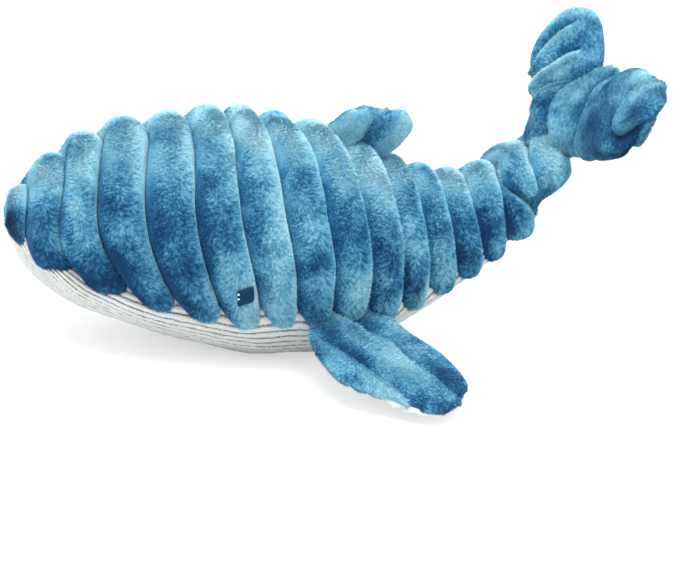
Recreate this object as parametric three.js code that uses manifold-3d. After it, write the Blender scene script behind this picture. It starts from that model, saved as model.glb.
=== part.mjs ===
// Plush whale of ribbed pile cloth, lying on its belly with the tail curled up.
// The nose points to -X, the left side to -Y and the back to +Z, in millimetres.

import * as THREE from 'three';
import { mergeVertices } from 'three/addons/utils/BufferGeometryUtils.js';
import Module from 'manifold-3d';

// Body: the ribs are parallel rings, so it is drawn in a frame that is square to them
const body_length = 327;
const body_depth = 133;
const body_width = 124;
const rib_relief = 8;
const cover_backing = 3.5;
const belly_sink = 2.5;
const scallop_rise = 2;
const rest_pitch = 13;
const rest_flat = 0.5;

// Clearances, and how far a cutting form reaches past what it cuts
const seam_gap = 0.3;
const neck_clearance = 0.7;
const overrun = 20;

// Tail neck: a barrel of the tail turns in a cup at the end of the trunk
const neck_step = 1.3;
const neck_waist = 0.6;
const tail_swing = 18;

// Fluke root: the flat wedge that ends the tail stock and carries both lobes
const stock_pitch = 47;
const stock_yaw = -9;
const root_length = 44;
const root_width = 56;
const root_depth = 24;

// Fluke lobes
const lobe_span = 60;
const lobe_chord = 48;
const lobe_depth = 24;
const lobe_bead = 9;
const lobe_swing = 25;
const lobe_raise = 10;

// Pectoral fins
const pectoral_span = 77;
const pectoral_chord = 58;
const pectoral_depth = 17;
const pectoral_bead = 8;
const pectoral_swing = 30;
const pectoral_droop = 22;
const pectoral_sweep = 5;

// Dorsal fin
const dorsal_span = 31;
const dorsal_chord = 50;
const dorsal_depth = 16;
const dorsal_bead = 7;
const dorsal_swing = 25;

// Cloth and seams of every fin and lobe
const fin_cloth = 3;
const fin_edge = 1.6;
const channel_relief = 1.6;
const hinge_sink = 5;

// Embroidered eyes
const eye_width = 10;
const eye_height = 10.5;
const eye_thread = 2.6;
const eye_stand = 1;
const glint_width = 2;
const glint_height = 4;
const glint_thread = 1.2;
const glint_stand = 0.4;

// Stations from the nose to the end of the stock, as shares of the body's length
const line_place_shares = [0, 0.012, 0.035, 0.065, 0.1, 0.15, 0.21, 0.28, 0.36, 0.44,
  0.52, 0.6, 0.66, 0.72, 0.78, 0.84, 0.89, 0.93, 0.965, 1];

// Height of each ring's centre and half of its depth, as shares of the body's depth
const line_rise_shares = [0.29, 0.285, 0.266, 0.244, 0.222, 0.199, 0.174, 0.138, 0.094, 0.055,
  -0.001, -0.066, -0.092, -0.098, -0.084, -0.035, 0.03, 0.092, 0.163, 0.248];
const half_depth_shares = [0, 0.105, 0.185, 0.268, 0.335, 0.402, 0.46, 0.501, 0.531, 0.53,
  0.507, 0.447, 0.377, 0.315, 0.268, 0.236, 0.205, 0.175, 0.14, 0.11];

// Lean of each ring in degrees: the last ones turn square to the stock
const ring_leans = [0, 0, -2, 1, 5, 9, 9, 7, 4, 0, -4, -5, -4, -2, 0, 2, 9, 20, 34, 47];

// How far the sides of each ring bow towards the nose, as shares of its half width
const ring_bow_shares = [0, 0.05, 0.16, 0.22, 0.29, 0.34, 0.32, 0.25, 0.17, 0.04,
  -0.06, -0.05, 0, 0, 0, 0.03, 0.04, 0.03, 0.01, 0];

// Angle in degrees from the keel up to the belly seam at each ring, and where the panel has ended
const seam_angles = [82, 78, 74, 70, 66, 62, 59, 57, 57, 57, 57, 57, 56, 54, 51, 44, 24, 1, 1, 1];
const seam_end_angle = 5;

// Grooves between the ribs, as shares of the body's length; the first lies before the nose
const groove_place_shares = [-0.038, 0.038, 0.105, 0.178, 0.25, 0.318, 0.378, 0.434, 0.49, 0.552,
  0.62, 0.685, 0.742, 0.798, 0.852, 0.898, 0.942, 1];
const neck_groove = 12;

// Sampling of the forms
const ring_points = 20;
const rib_samples = [-1, -0.7, 0, 0.7];
const scallop_samples = [-1, -0.5, 0.5];
const core_ring_points = 17;
const root_points = 14;
const fin_half_samples = 4;
const bead_facets = 16;
const barrel_facets = 20;
const corner_facets = 3;

// Roundness of a rib and of a filled fin, and of the sewn channels in a fin
const rib_roundness = 2.3;
const full_relief_share = 0.42;
const swell_roundness = 2.4;
const swell_power = 0.6;
const channel_sharpness = 6;

// Colours of the cloths and threads
const pile_blue = { color: 0x4a93bd, roughness: 0.95, metalness: 0 };
const corded_white = { color: 0xd9dbd6, roughness: 0.9, metalness: 0 };
const fibre_white = { color: 0xf3f3ef, roughness: 1, metalness: 0 };
const thread_navy = { color: 0x143a5f, roughness: 0.6, metalness: 0 };
const thread_white = { color: 0xf2f4f5, roughness: 0.6, metalness: 0 };

const wasm = await Module();
wasm.setup();

// Turn a closed geometry into a solid whose faces point outwards
function solid_of(geometry) {
  const bare = geometry.index ? geometry.toNonIndexed() : geometry.clone();
  for (const name of Object.keys(bare.attributes)) {
    if (name !== 'position') bare.deleteAttribute(name);
  }
  const merged = mergeVertices(bare);
  const vertProperties = new Float32Array(merged.attributes.position.array);
  const triVerts = new Uint32Array(merged.index.array);
  const solid = new wasm.Manifold(new wasm.Mesh({ numProp: 3, vertProperties, triVerts }));
  if (solid.volume() > 0) return solid;
  for (let corner = 0; corner < triVerts.length; corner += 3) {
    [triVerts[corner], triVerts[corner + 1]] = [triVerts[corner + 1], triVerts[corner]];
  }
  return new wasm.Manifold(new wasm.Mesh({ numProp: 3, vertProperties, triVerts }));
}

// Turn a solid back into a geometry
function geometry_of(solid) {
  const mesh = solid.getMesh();
  const geometry = new THREE.BufferGeometry();
  geometry.setAttribute('position', new THREE.BufferAttribute(new Float32Array(mesh.vertProperties), 3));
  geometry.setIndex(new THREE.BufferAttribute(new Uint32Array(mesh.triVerts), 1));
  geometry.computeVertexNormals();
  return geometry;
}

// Skin a row of closed rings of points and close both ends on their middles
function loft(rings) {
  const count = rings[0].length;
  const points = rings.flat();
  const faces = [];
  for (let ring = 0; ring + 1 < rings.length; ring += 1) {
    for (let point = 0; point < count; point += 1) {
      const next = (point + 1) % count;
      const here = ring * count;
      const there = here + count;
      faces.push(here + point, there + point, there + next);
      faces.push(here + point, there + next, here + next);
    }
  }
  for (const ring of [0, rings.length - 1]) {
    const middle = new THREE.Vector3();
    for (const point of rings[ring]) middle.addScaledVector(point, 1 / count);
    points.push(middle);
    for (let point = 0; point < count; point += 1) {
      const next = (point + 1) % count;
      const edge = [ring * count + point, ring * count + next];
      if (ring > 0) edge.reverse();
      faces.push(points.length - 1, ...edge);
    }
  }
  const geometry = new THREE.BufferGeometry().setFromPoints(points);
  geometry.setIndex(faces);
  return solid_of(geometry);
}

// Read a table of values at a place between its stations, with a smooth curve
function smooth_value(places, values, place) {
  const last = places.length - 1;
  let low = 0;
  while (low < last - 1 && places[low + 1] < place) low += 1;
  const slope_at = (index) => {
    const before = Math.max(index - 1, 0);
    const after = Math.min(index + 1, last);
    return (values[after] - values[before]) / (places[after] - places[before]);
  };
  const step = places[low + 1] - places[low];
  const part = THREE.MathUtils.clamp((place - places[low]) / step, 0, 1);
  const rest = 1 - part;
  return rest * rest * (values[low] * (1 + 2 * part) + step * slope_at(low) * part)
    + part * part * (values[low + 1] * (1 + 2 * rest) - step * slope_at(low + 1) * rest);
}

// Centre, half sizes and up direction of the ring at a share of the body's length
function ring_at(place) {
  const lean = THREE.MathUtils.degToRad(smooth_value(line_place_shares, ring_leans, place));
  const half_depth = body_depth * Math.max(smooth_value(line_place_shares, half_depth_shares, place), 0);
  return {
    centre: new THREE.Vector3(
      body_length * place, 0, body_depth * smooth_value(line_place_shares, line_rise_shares, place)),
    up: new THREE.Vector3(-Math.sin(lean), 0, Math.cos(lean)),
    half_depth,
    half_width: half_depth * body_width / body_depth,
    bow_share: smooth_value(line_place_shares, ring_bow_shares, place),
  };
}

// Point of a ring at an angle from the back, drawn in from the rib crests by an inset
function ring_point(ring, angle, inset) {
  const depth = Math.max(ring.half_depth - inset, seam_gap);
  const width = Math.max(ring.half_width - inset, seam_gap);
  const bow = ring.half_width * ring.bow_share * Math.sin(angle) ** 2;
  return ring.centre.clone()
    .addScaledVector(ring.up, depth * Math.cos(angle))
    .add(new THREE.Vector3(-bow, -width * Math.sin(angle), 0));
}

function ring_of_points(place, inset, count) {
  const ring = ring_at(place);
  const points = [];
  for (let step = 0; step < count; step += 1) {
    points.push(ring_point(ring, 2 * Math.PI * step / count, inset));
  }
  return points;
}

// How far the cloth lies under the rib crests, at a reach from -1 to 1 across one rib
function rib_drop(reach) {
  const round = 1 - Math.abs(reach) ** rib_roundness;
  return rib_relief * (1 - Math.max(round, 0) ** (1 / rib_roundness));
}

// The ribs grow shallower where the body is slim
function relief_share(place) {
  return Math.min(ring_at(place).half_depth / (full_relief_share * body_depth), 1);
}

// Places along the body that lie at given reaches across every rib
function rib_places(reaches) {
  const places = [];
  for (let rib = 0; rib + 1 < groove_place_shares.length; rib += 1) {
    const start = groove_place_shares[rib];
    const end = groove_place_shares[rib + 1];
    for (const reach of reaches) {
      const place = start + (end - start) * (reach + 1) / 2;
      if (place > line_place_shares[1] / 2) places.push({ place, reach });
    }
  }
  return [{ place: 0, reach: 0 }, ...places, { place: 1, reach: 1 }];
}

// The whole body with its ribs
function ribbed_form() {
  return loft(rib_places(rib_samples).map(({ place, reach }) => (
    ring_of_points(place, relief_share(place) * rib_drop(reach), ring_points))));
}

// The body without ribs from a place to its end: drawn in from the grooves by a depth,
// or from the crests where the depth is that of a smooth panel
function smooth_form(start, depth, under_grooves) {
  const places = [start, ...line_place_shares.filter((place) => place > start)];
  return loft(places.map((place) => {
    const grooves = under_grooves ? relief_share(place) * rib_relief : 0;
    return ring_of_points(place, grooves + depth, core_ring_points);
  }));
}

// Extrude an outline of [x, z] points to both sides of the middle plane
function side_prism(outline, half_width) {
  const shape = new THREE.Shape(outline.map(([x, z]) => new THREE.Vector2(x, z)));
  const geometry = new THREE.ExtrudeGeometry(shape, { depth: 2 * half_width, bevelEnabled: false });
  geometry.translate(0, 0, -half_width);
  geometry.rotateX(Math.PI / 2);
  return solid_of(geometry);
}

// Everything under the belly seam, moved up by a shift; the seam rises at each groove
function under_seam(shift) {
  const outline = rib_places(scallop_samples).map(({ place, reach }) => {
    const keel_angle = smooth_value(line_place_shares, seam_angles, place);
    const angle = Math.PI - THREE.MathUtils.degToRad(keel_angle);
    const seam = ring_point(ring_at(place), angle, keel_angle > seam_end_angle ? 0 : -overrun);
    return [seam.x, seam.z + shift + scallop_rise * Math.abs(reach)];
  });
  const [first] = outline;
  outline.unshift([first[0] - overrun, first[1]]);
  const end = outline[outline.length - 1];
  end[0] += overrun;
  outline.push([end[0], -body_length], [first[0] - overrun, -body_length]);
  return side_prism(outline, body_width);
}

// Tail neck: its ring, and the two sides of the wedge that lets the tail swing
const neck_place = groove_place_shares[neck_groove];
const neck_ring = ring_at(neck_place);
const neck_centre = neck_ring.centre;

function neck_side(side, shift) {
  const lean = Math.tan(THREE.MathUtils.degToRad(tail_swing / 2));
  const reach = body_length;
  const near = neck_centre.x + side * (neck_waist - shift);
  const far = near + side * reach * lean;
  const outer = near + side * 2 * reach;
  return side_prism([
    [near, neck_centre.z], [far, neck_centre.z + reach], [outer, neck_centre.z + reach],
    [outer, neck_centre.z - reach], [far, neck_centre.z - reach]], body_width);
}

function neck_barrel(growth) {
  const inset = relief_share(neck_place) * rib_relief + neck_step - growth;
  const radius = neck_ring.half_depth - inset;
  const geometry = new THREE.SphereGeometry(1, barrel_facets, barrel_facets / 2);
  geometry.scale(radius, neck_ring.half_width - inset, radius);
  geometry.translate(neck_centre.x, neck_centre.y, neck_centre.z);
  return solid_of(geometry);
}

// Frame of the fluke root at the end of the stock: along it, to the left and to the front
const stock_end = ring_at(1).centre;
const stock_turn = new THREE.Matrix4().makeRotationY(-THREE.MathUtils.degToRad(stock_pitch))
  .multiply(new THREE.Matrix4().makeRotationZ(THREE.MathUtils.degToRad(stock_yaw)));
const root_frame = stock_turn.clone().setPosition(stock_end);

// Stations of the fluke root along the stock, and its half sizes there, as shares
const root_place_shares = [-0.3, -0.1, 0.08, 0.3, 0.55, 0.8, 1];
const root_width_shares = [0.24, 0.36, 0.5, 0.43, 0.3, 0.17, 0.1];
const root_depth_shares = [0.42, 0.5, 0.5, 0.48, 0.44, 0.38, 0.3];

function fluke_root() {
  const rings = root_place_shares.map((place, index) => {
    const points = [];
    for (let step = 0; step < root_points; step += 1) {
      const angle = 2 * Math.PI * step / root_points;
      points.push(new THREE.Vector3(
        root_length * place,
        root_width * root_width_shares[index] * Math.cos(angle),
        root_depth * root_depth_shares[index] * Math.sin(angle)).applyMatrix4(root_frame));
    }
    return points;
  });
  return loft(rings);
}

// Frame of a fin: X along its hinge line, Y outwards and Z to its upper face
function fin_frame(start, end, outward) {
  const along = end.clone().sub(start).normalize();
  const out = outward.clone().addScaledVector(along, -outward.dot(along)).normalize();
  const face = new THREE.Vector3().crossVectors(along, out);
  const middle = start.clone().add(end).multiplyScalar(1 / 2);
  return new THREE.Matrix4().makeBasis(along, out, face).setPosition(middle);
}

// One outline for each kind of fin: stations outwards, front and rear edges and fullness there.
// Outward places are shares of the span, edges shares of the chord and fullness of the depth.
const pectoral_plan = {
  span: pectoral_span, chord: pectoral_chord, depth: pectoral_depth, bead: pectoral_bead,
  swing: pectoral_swing, hinge_share: 0.86, lengthwise_ribs: 3, crosswise_ribs: 0,
  place_shares: [0, 0.06, 0.14, 0.26, 0.44, 0.62, 0.8, 0.93, 1],
  front_shares: [-0.42, -0.42, -0.49, -0.56, -0.51, -0.34, -0.08, 0.15, 0.3],
  rear_shares: [0.42, 0.42, 0.41, 0.44, 0.58, 0.7, 0.72, 0.64, 0.45],
  full_shares: [0.2, 0.24, 0.52, 0.84, 1, 0.97, 0.84, 0.6, 0.3],
};
const dorsal_plan = {
  span: dorsal_span, chord: dorsal_chord, depth: dorsal_depth, bead: dorsal_bead,
  swing: dorsal_swing, hinge_share: 0.8, lengthwise_ribs: 2, crosswise_ribs: 0,
  place_shares: [0, 0.16, 0.3, 0.46, 0.64, 0.8, 0.92, 1],
  front_shares: [-0.39, -0.39, -0.37, -0.26, -0.06, 0.14, 0.3, 0.42],
  rear_shares: [0.39, 0.39, 0.44, 0.52, 0.57, 0.6, 0.6, 0.54],
  full_shares: [0.24, 0.34, 0.66, 0.95, 0.96, 0.84, 0.64, 0.36],
};
const lobe_plan = {
  span: lobe_span, chord: lobe_chord, depth: lobe_depth, bead: lobe_bead,
  swing: lobe_swing, hinge_share: 0.74, lengthwise_ribs: 0, crosswise_ribs: 3,
  place_shares: [0, 0.1, 0.2, 0.33, 0.5, 0.667, 0.83, 0.94, 1],
  front_shares: [-0.36, -0.37, -0.48, -0.55, -0.55, -0.48, -0.33, -0.15, 0],
  rear_shares: [0.36, 0.37, 0.48, 0.54, 0.57, 0.57, 0.52, 0.4, 0.26],
  full_shares: [0.22, 0.3, 0.62, 0.92, 1, 0.95, 0.82, 0.56, 0.28],
};
const seat_reach_share = 0.5;

// Depth of the sewn channels: zero on a rib's crest and one in a groove
function channel(ribs, part) {
  if (ribs === 0) return 0;
  return (1 - Math.abs(Math.sin(Math.PI * ribs * part))) ** channel_sharpness;
}

// Closed form of a fin, drawn in from its faces, edges and ends by an inset; a pocket drawn
// in like this also stays clear of the bead
function fin_form(plan, frame, inset) {
  const start = inset > 0 ? plan.bead + inset : 0;
  const reach = plan.span - inset - start;
  const rings = plan.place_shares.map((place_share) => {
    const place = start + reach * place_share;
    const outward = place / plan.span;
    const front = plan.chord * smooth_value(plan.place_shares, plan.front_shares, outward) + inset;
    const rear = plan.chord * smooth_value(plan.place_shares, plan.rear_shares, outward) - inset;
    const full = plan.depth / 2 * smooth_value(plan.place_shares, plan.full_shares, outward);
    const face = [];
    for (let step = 0; step <= 2 * fin_half_samples; step += 1) {
      const reach = -Math.cos(Math.PI * step / (2 * fin_half_samples));
      const swell = Math.max(1 - Math.abs(reach) ** swell_roundness, 0) ** swell_power;
      const groove = channel_relief * swell * Math.max(
        channel(plan.lengthwise_ribs, (reach + 1) / 2), channel(plan.crosswise_ribs, outward));
      const height = fin_edge + Math.max(full - fin_edge, 0) * swell - groove - inset;
      face.push([(front + rear) / 2 + (rear - front) / 2 * reach, Math.max(height, seam_gap)]);
    }
    const upper = face.map(([x, z]) => new THREE.Vector3(x, place, z));
    const lower = face.map(([x, z]) => new THREE.Vector3(x, place, -z)).reverse();
    return [...upper, ...lower].map((point) => point.applyMatrix4(frame));
  });
  return loft(rings);
}

// Round bead along the hinge line
function bead_form(plan, frame, growth) {
  const radius = plan.bead / 2 + growth;
  const length = plan.chord * plan.hinge_share + 2 * growth;
  const geometry = new THREE.CylinderGeometry(radius, radius, length, bead_facets);
  geometry.rotateZ(Math.PI / 2);
  geometry.applyMatrix4(frame);
  return solid_of(geometry);
}

// Seat of a fin: a bore round its bead and a wedge that holds the whole fin as it swings
function seat_form(plan, frame) {
  const root_half = plan.depth / 2 * plan.full_shares[0];
  const tapers = plan.place_shares.slice(1).map((place_share, index) => (
    (plan.depth / 2 * plan.full_shares[index + 1] - root_half) / (plan.span * place_share)));
  const taper = Math.atan(Math.max(...tapers));
  const angle = THREE.MathUtils.degToRad(plan.swing) + taper;
  const mouth = (root_half + seam_gap) * Math.cos(taper) / Math.cos(angle);
  const reach = plan.span;
  const side = mouth + reach * Math.tan(angle);
  const shape = new THREE.Shape([
    new THREE.Vector2(0, -mouth), new THREE.Vector2(reach, -side),
    new THREE.Vector2(reach, side), new THREE.Vector2(0, mouth)]);
  const front = plan.chord * Math.min(...plan.front_shares) - seam_gap;
  const rear = plan.chord * smooth_value(plan.place_shares, plan.rear_shares, seat_reach_share) + seam_gap;
  const geometry = new THREE.ExtrudeGeometry(shape, { depth: rear - front, bevelEnabled: false });
  geometry.translate(0, 0, front);
  geometry.applyMatrix4(new THREE.Matrix4().makeBasis(
    new THREE.Vector3(0, 1, 0), new THREE.Vector3(0, 0, 1), new THREE.Vector3(1, 0, 0)));
  geometry.applyMatrix4(frame);
  return solid_of(geometry).add(bead_form(plan, frame, seam_gap));
}

// The half of space on one face of a fin, half a seam gap away from its middle
function face_side(frame, side) {
  const size = body_length;
  const geometry = new THREE.BoxGeometry(size, size, size);
  geometry.translate(0, 0, side * (size + seam_gap) / 2);
  geometry.applyMatrix4(frame);
  return solid_of(geometry);
}

// A fin's two panels and its filling; the panel on the bead's side carries the bead
function fin_solids(plan, frame, bead_side) {
  const bead = bead_form(plan, frame, 0);
  const cloth = fin_form(plan, frame, 0).subtract(fin_form(plan, frame, fin_cloth));
  return {
    beaded: cloth.intersect(face_side(frame, bead_side)).add(bead),
    plain: cloth.intersect(face_side(frame, -bead_side)).subtract(bead_form(plan, frame, seam_gap)),
    filling: fin_form(plan, frame, fin_cloth + seam_gap),
  };
}

// Pectoral fins: the hinge line runs in the belly seam between two rings
const pectoral_front_share = 0.455;
const pectoral_rear_share = 0.61;
const pectoral_seam_angle = 61;

function pectoral_frame(side) {
  const angle = Math.PI - THREE.MathUtils.degToRad(pectoral_seam_angle);
  const ends = [pectoral_front_share, pectoral_rear_share].map((place) => {
    const point = ring_point(ring_at(place), angle, hinge_sink);
    return new THREE.Vector3(point.x, -side * point.y, point.z);
  });
  const droop = THREE.MathUtils.degToRad(pectoral_droop);
  const sweep = THREE.MathUtils.degToRad(pectoral_sweep);
  const outward = new THREE.Vector3(
    Math.cos(droop) * Math.sin(sweep), side * Math.cos(droop) * Math.cos(sweep), -Math.sin(droop));
  return fin_frame(ends[0], ends[1], outward);
}

// Dorsal fin: the hinge line runs along the ridge of the back
const dorsal_front_share = 0.53;
const dorsal_rear_share = 0.65;

function dorsal_frame() {
  const [start, end] = [dorsal_front_share, dorsal_rear_share].map(
    (place) => ring_point(ring_at(place), 0, hinge_sink));
  return fin_frame(start, end, new THREE.Vector3(0, 0, 1));
}

// Fluke lobes: each hinge line runs from the shoulder of the root to the notch between them
const lobe_shoulder_shares = [0.1, 0.46];
const lobe_notch_shares = [0.84, 0.15];

function lobe_frame(side) {
  const [shoulder, notch] = [lobe_shoulder_shares, lobe_notch_shares].map(
    ([along, across]) => new THREE.Vector3(root_length * along, side * root_width * across, 0));
  const line = notch.clone().sub(shoulder);
  const raise = THREE.MathUtils.degToRad(lobe_raise);
  const outward = new THREE.Vector3(-line.y * side, line.x * side, 0).normalize()
    .multiplyScalar(Math.cos(raise)).add(new THREE.Vector3(0, 0, Math.sin(raise)));
  const points = [shoulder, notch].map((point) => point.applyMatrix4(root_frame));
  return fin_frame(points[0], points[1], outward.transformDirection(root_frame));
}

// Solids of the three forms that the cloth is cut from
const ribbed = ribbed_form();
const core_start_share = 0.065;
const filling_start_share = core_start_share + 2 * seam_gap / body_length;
const core = smooth_form(core_start_share, cover_backing, true);
const core_filling = smooth_form(filling_start_share, cover_backing + seam_gap, true);
const belly_form = smooth_form(0, belly_sink, false);
const above_seam = under_seam(seam_gap / 2);
const below_seam = under_seam(-seam_gap / 2);

// Seats of the fins in the trunk and of the lobes in the tail
const sides = [{ name: 'left', sign: -1 }, { name: 'right', sign: 1 }];
const pectoral_frames = sides.map(({ sign }) => pectoral_frame(sign));
const lobe_frames = sides.map(({ sign }) => lobe_frame(sign));
const trunk_seats = seat_form(dorsal_plan, dorsal_frame())
  .add(seat_form(pectoral_plan, pectoral_frames[0])).add(seat_form(pectoral_plan, pectoral_frames[1]));
const tail_seats = seat_form(lobe_plan, lobe_frames[0]).add(seat_form(lobe_plan, lobe_frames[1]));

// The plane that the whale lies on, as a block under it in the frame of the ribs
const pitch = THREE.MathUtils.degToRad(rest_pitch);

function row_height(point) {
  return point.z * Math.cos(pitch) + point.x * Math.sin(pitch);
}

function floor_block() {
  const points = line_place_shares.flatMap((place) => ring_of_points(place, belly_sink, core_ring_points));
  const lowest = Math.min(...points.map(row_height)) + rest_flat;
  const size = 2 * body_length;
  const geometry = new THREE.BoxGeometry(size, size, size);
  geometry.translate(0, 0, lowest - size / 2);
  geometry.rotateY(pitch);
  return solid_of(geometry);
}

// Embroidered eye: a rounded pad of thread, half sunk in the cover, with a white glint. It lies on
// the rear slope of its rib, so it is turned to the rear.
const eye_place_share = 0.363;
const eye_angle = 99.5;
const eye_turn = 12;
const glint_shift_share = 0.3;
const corner_share = 0.66;

function pad_form(width, height, thickness, growth) {
  const half_width = width / 2 + growth;
  const half_height = height / 2 + growth;
  const corner = Math.min(half_width, half_height) * corner_share;
  const shape = new THREE.Shape();
  shape.moveTo(-half_width + corner, -half_height);
  shape.lineTo(half_width - corner, -half_height);
  shape.quadraticCurveTo(half_width, -half_height, half_width, -half_height + corner);
  shape.lineTo(half_width, half_height - corner);
  shape.quadraticCurveTo(half_width, half_height, half_width - corner, half_height);
  shape.lineTo(-half_width + corner, half_height);
  shape.quadraticCurveTo(-half_width, half_height, -half_width, half_height - corner);
  shape.lineTo(-half_width, -half_height + corner);
  shape.quadraticCurveTo(-half_width, -half_height, -half_width + corner, -half_height);
  const geometry = new THREE.ExtrudeGeometry(
    shape, { depth: thickness + 2 * growth, bevelEnabled: false, curveSegments: corner_facets });
  geometry.translate(0, 0, -thickness - growth);
  return geometry;
}

function eye_frame(side) {
  const angle = THREE.MathUtils.degToRad(eye_angle);
  const ring = ring_at(eye_place_share);
  const point = ring_point(ring, angle, 0);
  point.y *= -side;
  const normal = new THREE.Vector3(
    0, side * Math.sin(angle) * ring.half_depth, Math.cos(angle) * ring.half_width).normalize();
  const along = new THREE.Vector3(1, 0, 0);
  const across = new THREE.Vector3().crossVectors(normal, along);
  const turn = THREE.MathUtils.degToRad(eye_turn);
  normal.applyAxisAngle(across, turn);
  along.applyAxisAngle(across, turn);
  return new THREE.Matrix4().makeBasis(along, across, normal)
    .setPosition(point.addScaledVector(normal, eye_stand));
}

function eye_pad(side, growth) {
  return solid_of(pad_form(eye_width, eye_height, eye_thread, growth).applyMatrix4(eye_frame(side)));
}

function glint_pad(side, growth) {
  const geometry = pad_form(glint_width, glint_height, glint_thread, growth);
  geometry.translate(-eye_width * glint_shift_share, 0, glint_stand);
  return solid_of(geometry.applyMatrix4(eye_frame(side)));
}

const eye_pockets = eye_pad(-1, seam_gap).add(eye_pad(1, seam_gap));

// Trunk: everything in front of the neck
const floor = floor_block();
const trunk_side = neck_side(-1, 0);
const neck_cup = neck_barrel(neck_clearance);
const back_cover = ribbed.intersect(trunk_side).subtract(core).subtract(above_seam)
  .subtract(neck_cup).subtract(trunk_seats).subtract(eye_pockets);
const belly_panel = belly_form.intersect(trunk_side).intersect(below_seam).subtract(core)
  .subtract(neck_cup).subtract(trunk_seats).subtract(floor);
const trunk_filling = core_filling.intersect(trunk_side).subtract(neck_cup).subtract(trunk_seats);

// Tail: everything behind the neck, with the barrel in front and the fluke root behind
const tail_side = neck_side(1, 0);
const tail_body = ribbed.intersect(tail_side).add(fluke_root()).add(neck_barrel(0));
const tail_belly = belly_form.intersect(tail_side).add(neck_barrel(0));
const tail_core = core.intersect(neck_side(1, seam_gap)).add(neck_barrel(-cover_backing));
const tail_filling = core_filling.intersect(tail_side).add(neck_barrel(-cover_backing - seam_gap));
const tail_cover = tail_body.subtract(tail_core).subtract(above_seam).subtract(tail_seats);
const tail_belly_panel = tail_belly.intersect(below_seam).subtract(tail_core);

const whale = new THREE.Group();

// Add one piece of the toy under its own name
function add_piece(name, solid, finish) {
  const mesh = new THREE.Mesh(geometry_of(solid), new THREE.MeshStandardMaterial(finish));
  mesh.name = name;
  whale.add(mesh);
}

add_piece('back_cover', back_cover, pile_blue);
add_piece('belly_panel', belly_panel, corded_white);
add_piece('trunk_filling', trunk_filling, fibre_white);
for (const { name, sign } of sides) {
  add_piece(`eye_${name}`, eye_pad(sign, 0).subtract(glint_pad(sign, seam_gap)), thread_navy);
  add_piece(`eye_${name}_glint`, glint_pad(sign, 0), thread_white);
}
add_piece('tail_cover', tail_cover, pile_blue);
add_piece('tail_belly_panel', tail_belly_panel, corded_white);
add_piece('tail_filling', tail_filling, fibre_white);

const dorsal = fin_solids(dorsal_plan, dorsal_frame(), 1);
add_piece('dorsal_fin_left_panel', dorsal.beaded, pile_blue);
add_piece('dorsal_fin_right_panel', dorsal.plain, pile_blue);
add_piece('dorsal_fin_filling', dorsal.filling, fibre_white);

// The Z axis of a fin's frame points up on one side of the whale and down on the other
sides.forEach(({ name, sign }, index) => {
  const pectoral = fin_solids(pectoral_plan, pectoral_frames[index], sign);
  add_piece(`pectoral_${name}_top_panel`, pectoral.beaded, pile_blue);
  add_piece(`pectoral_${name}_under_panel`, pectoral.plain, corded_white);
  add_piece(`pectoral_${name}_filling`, pectoral.filling, fibre_white);
  const lobe = fin_solids(lobe_plan, lobe_frames[index], sign);
  add_piece(`fluke_${name}_front_panel`, lobe.beaded, pile_blue);
  add_piece(`fluke_${name}_back_panel`, lobe.plain, pile_blue);
  add_piece(`fluke_${name}_filling`, lobe.filling, fibre_white);
});

// Pitch the whale on to its belly and set the origin under the middle of its box
whale.rotation.y = -pitch;
whale.updateMatrixWorld(true);
const box = new THREE.Box3().setFromObject(whale, true);
whale.position.set(-(box.min.x + box.max.x) / 2, -(box.min.y + box.max.y) / 2, -box.min.z);

export default whale;
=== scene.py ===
"""Plush whale of ribbed pile cloth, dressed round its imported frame.

The body is drawn in the frame of its ribs, in millimetres, and then pitched on to its belly.
"""

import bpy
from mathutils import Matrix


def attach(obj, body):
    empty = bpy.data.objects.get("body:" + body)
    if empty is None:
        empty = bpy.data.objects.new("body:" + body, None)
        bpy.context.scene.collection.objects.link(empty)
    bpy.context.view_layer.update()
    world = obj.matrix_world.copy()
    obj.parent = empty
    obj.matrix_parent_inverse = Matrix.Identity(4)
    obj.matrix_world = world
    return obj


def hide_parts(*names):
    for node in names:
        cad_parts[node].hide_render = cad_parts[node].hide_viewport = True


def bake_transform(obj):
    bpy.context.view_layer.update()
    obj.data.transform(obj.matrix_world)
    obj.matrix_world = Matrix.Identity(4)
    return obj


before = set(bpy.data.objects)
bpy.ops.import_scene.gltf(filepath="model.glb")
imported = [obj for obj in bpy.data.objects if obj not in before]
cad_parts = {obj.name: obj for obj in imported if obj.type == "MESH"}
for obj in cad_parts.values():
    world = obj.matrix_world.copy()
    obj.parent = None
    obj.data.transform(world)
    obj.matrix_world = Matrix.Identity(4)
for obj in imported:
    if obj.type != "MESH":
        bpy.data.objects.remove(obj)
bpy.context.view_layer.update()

import logging
import math
from dataclasses import dataclass
from enum import Enum
from typing import Any

import bpy
import numpy as np
from mathutils import Matrix, Vector

Array = np.ndarray
LOG = logging.getLogger("plush_whale")
MM = 0.001
# Tuft value of the bare backing: painted shade, so that it shows between the fibres a little darker than they
# are
BARE_TUFT = 0.35


# ---------------------------------------------------------------- numbers and noise


def linear(hex_colour: str) -> tuple[float, float, float, float]:
    """Turn an sRGB hex colour into linear light.

    Args:
        hex_colour: Six hex digits after a hash sign.

    Returns:
        Red, green, blue and an alpha of one.
    """
    channels = [int(hex_colour[start:start + 2], 16) / 255 for start in (1, 3, 5)]
    light = [c / 12.92 if c <= 0.04045 else ((c + 0.055) / 1.055) ** 2.4 for c in channels]
    return light[0], light[1], light[2], 1.0


def unit(vectors: Array) -> Array:
    """Scale vectors to a length of one."""
    return vectors / np.maximum(np.linalg.norm(vectors, axis=-1, keepdims=True), 1e-12)


def eased(share: Array) -> Array:
    """Ease a share from 0 to 1, with a slow start and a slow end."""
    return share * share * (3 - 2 * share)


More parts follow.
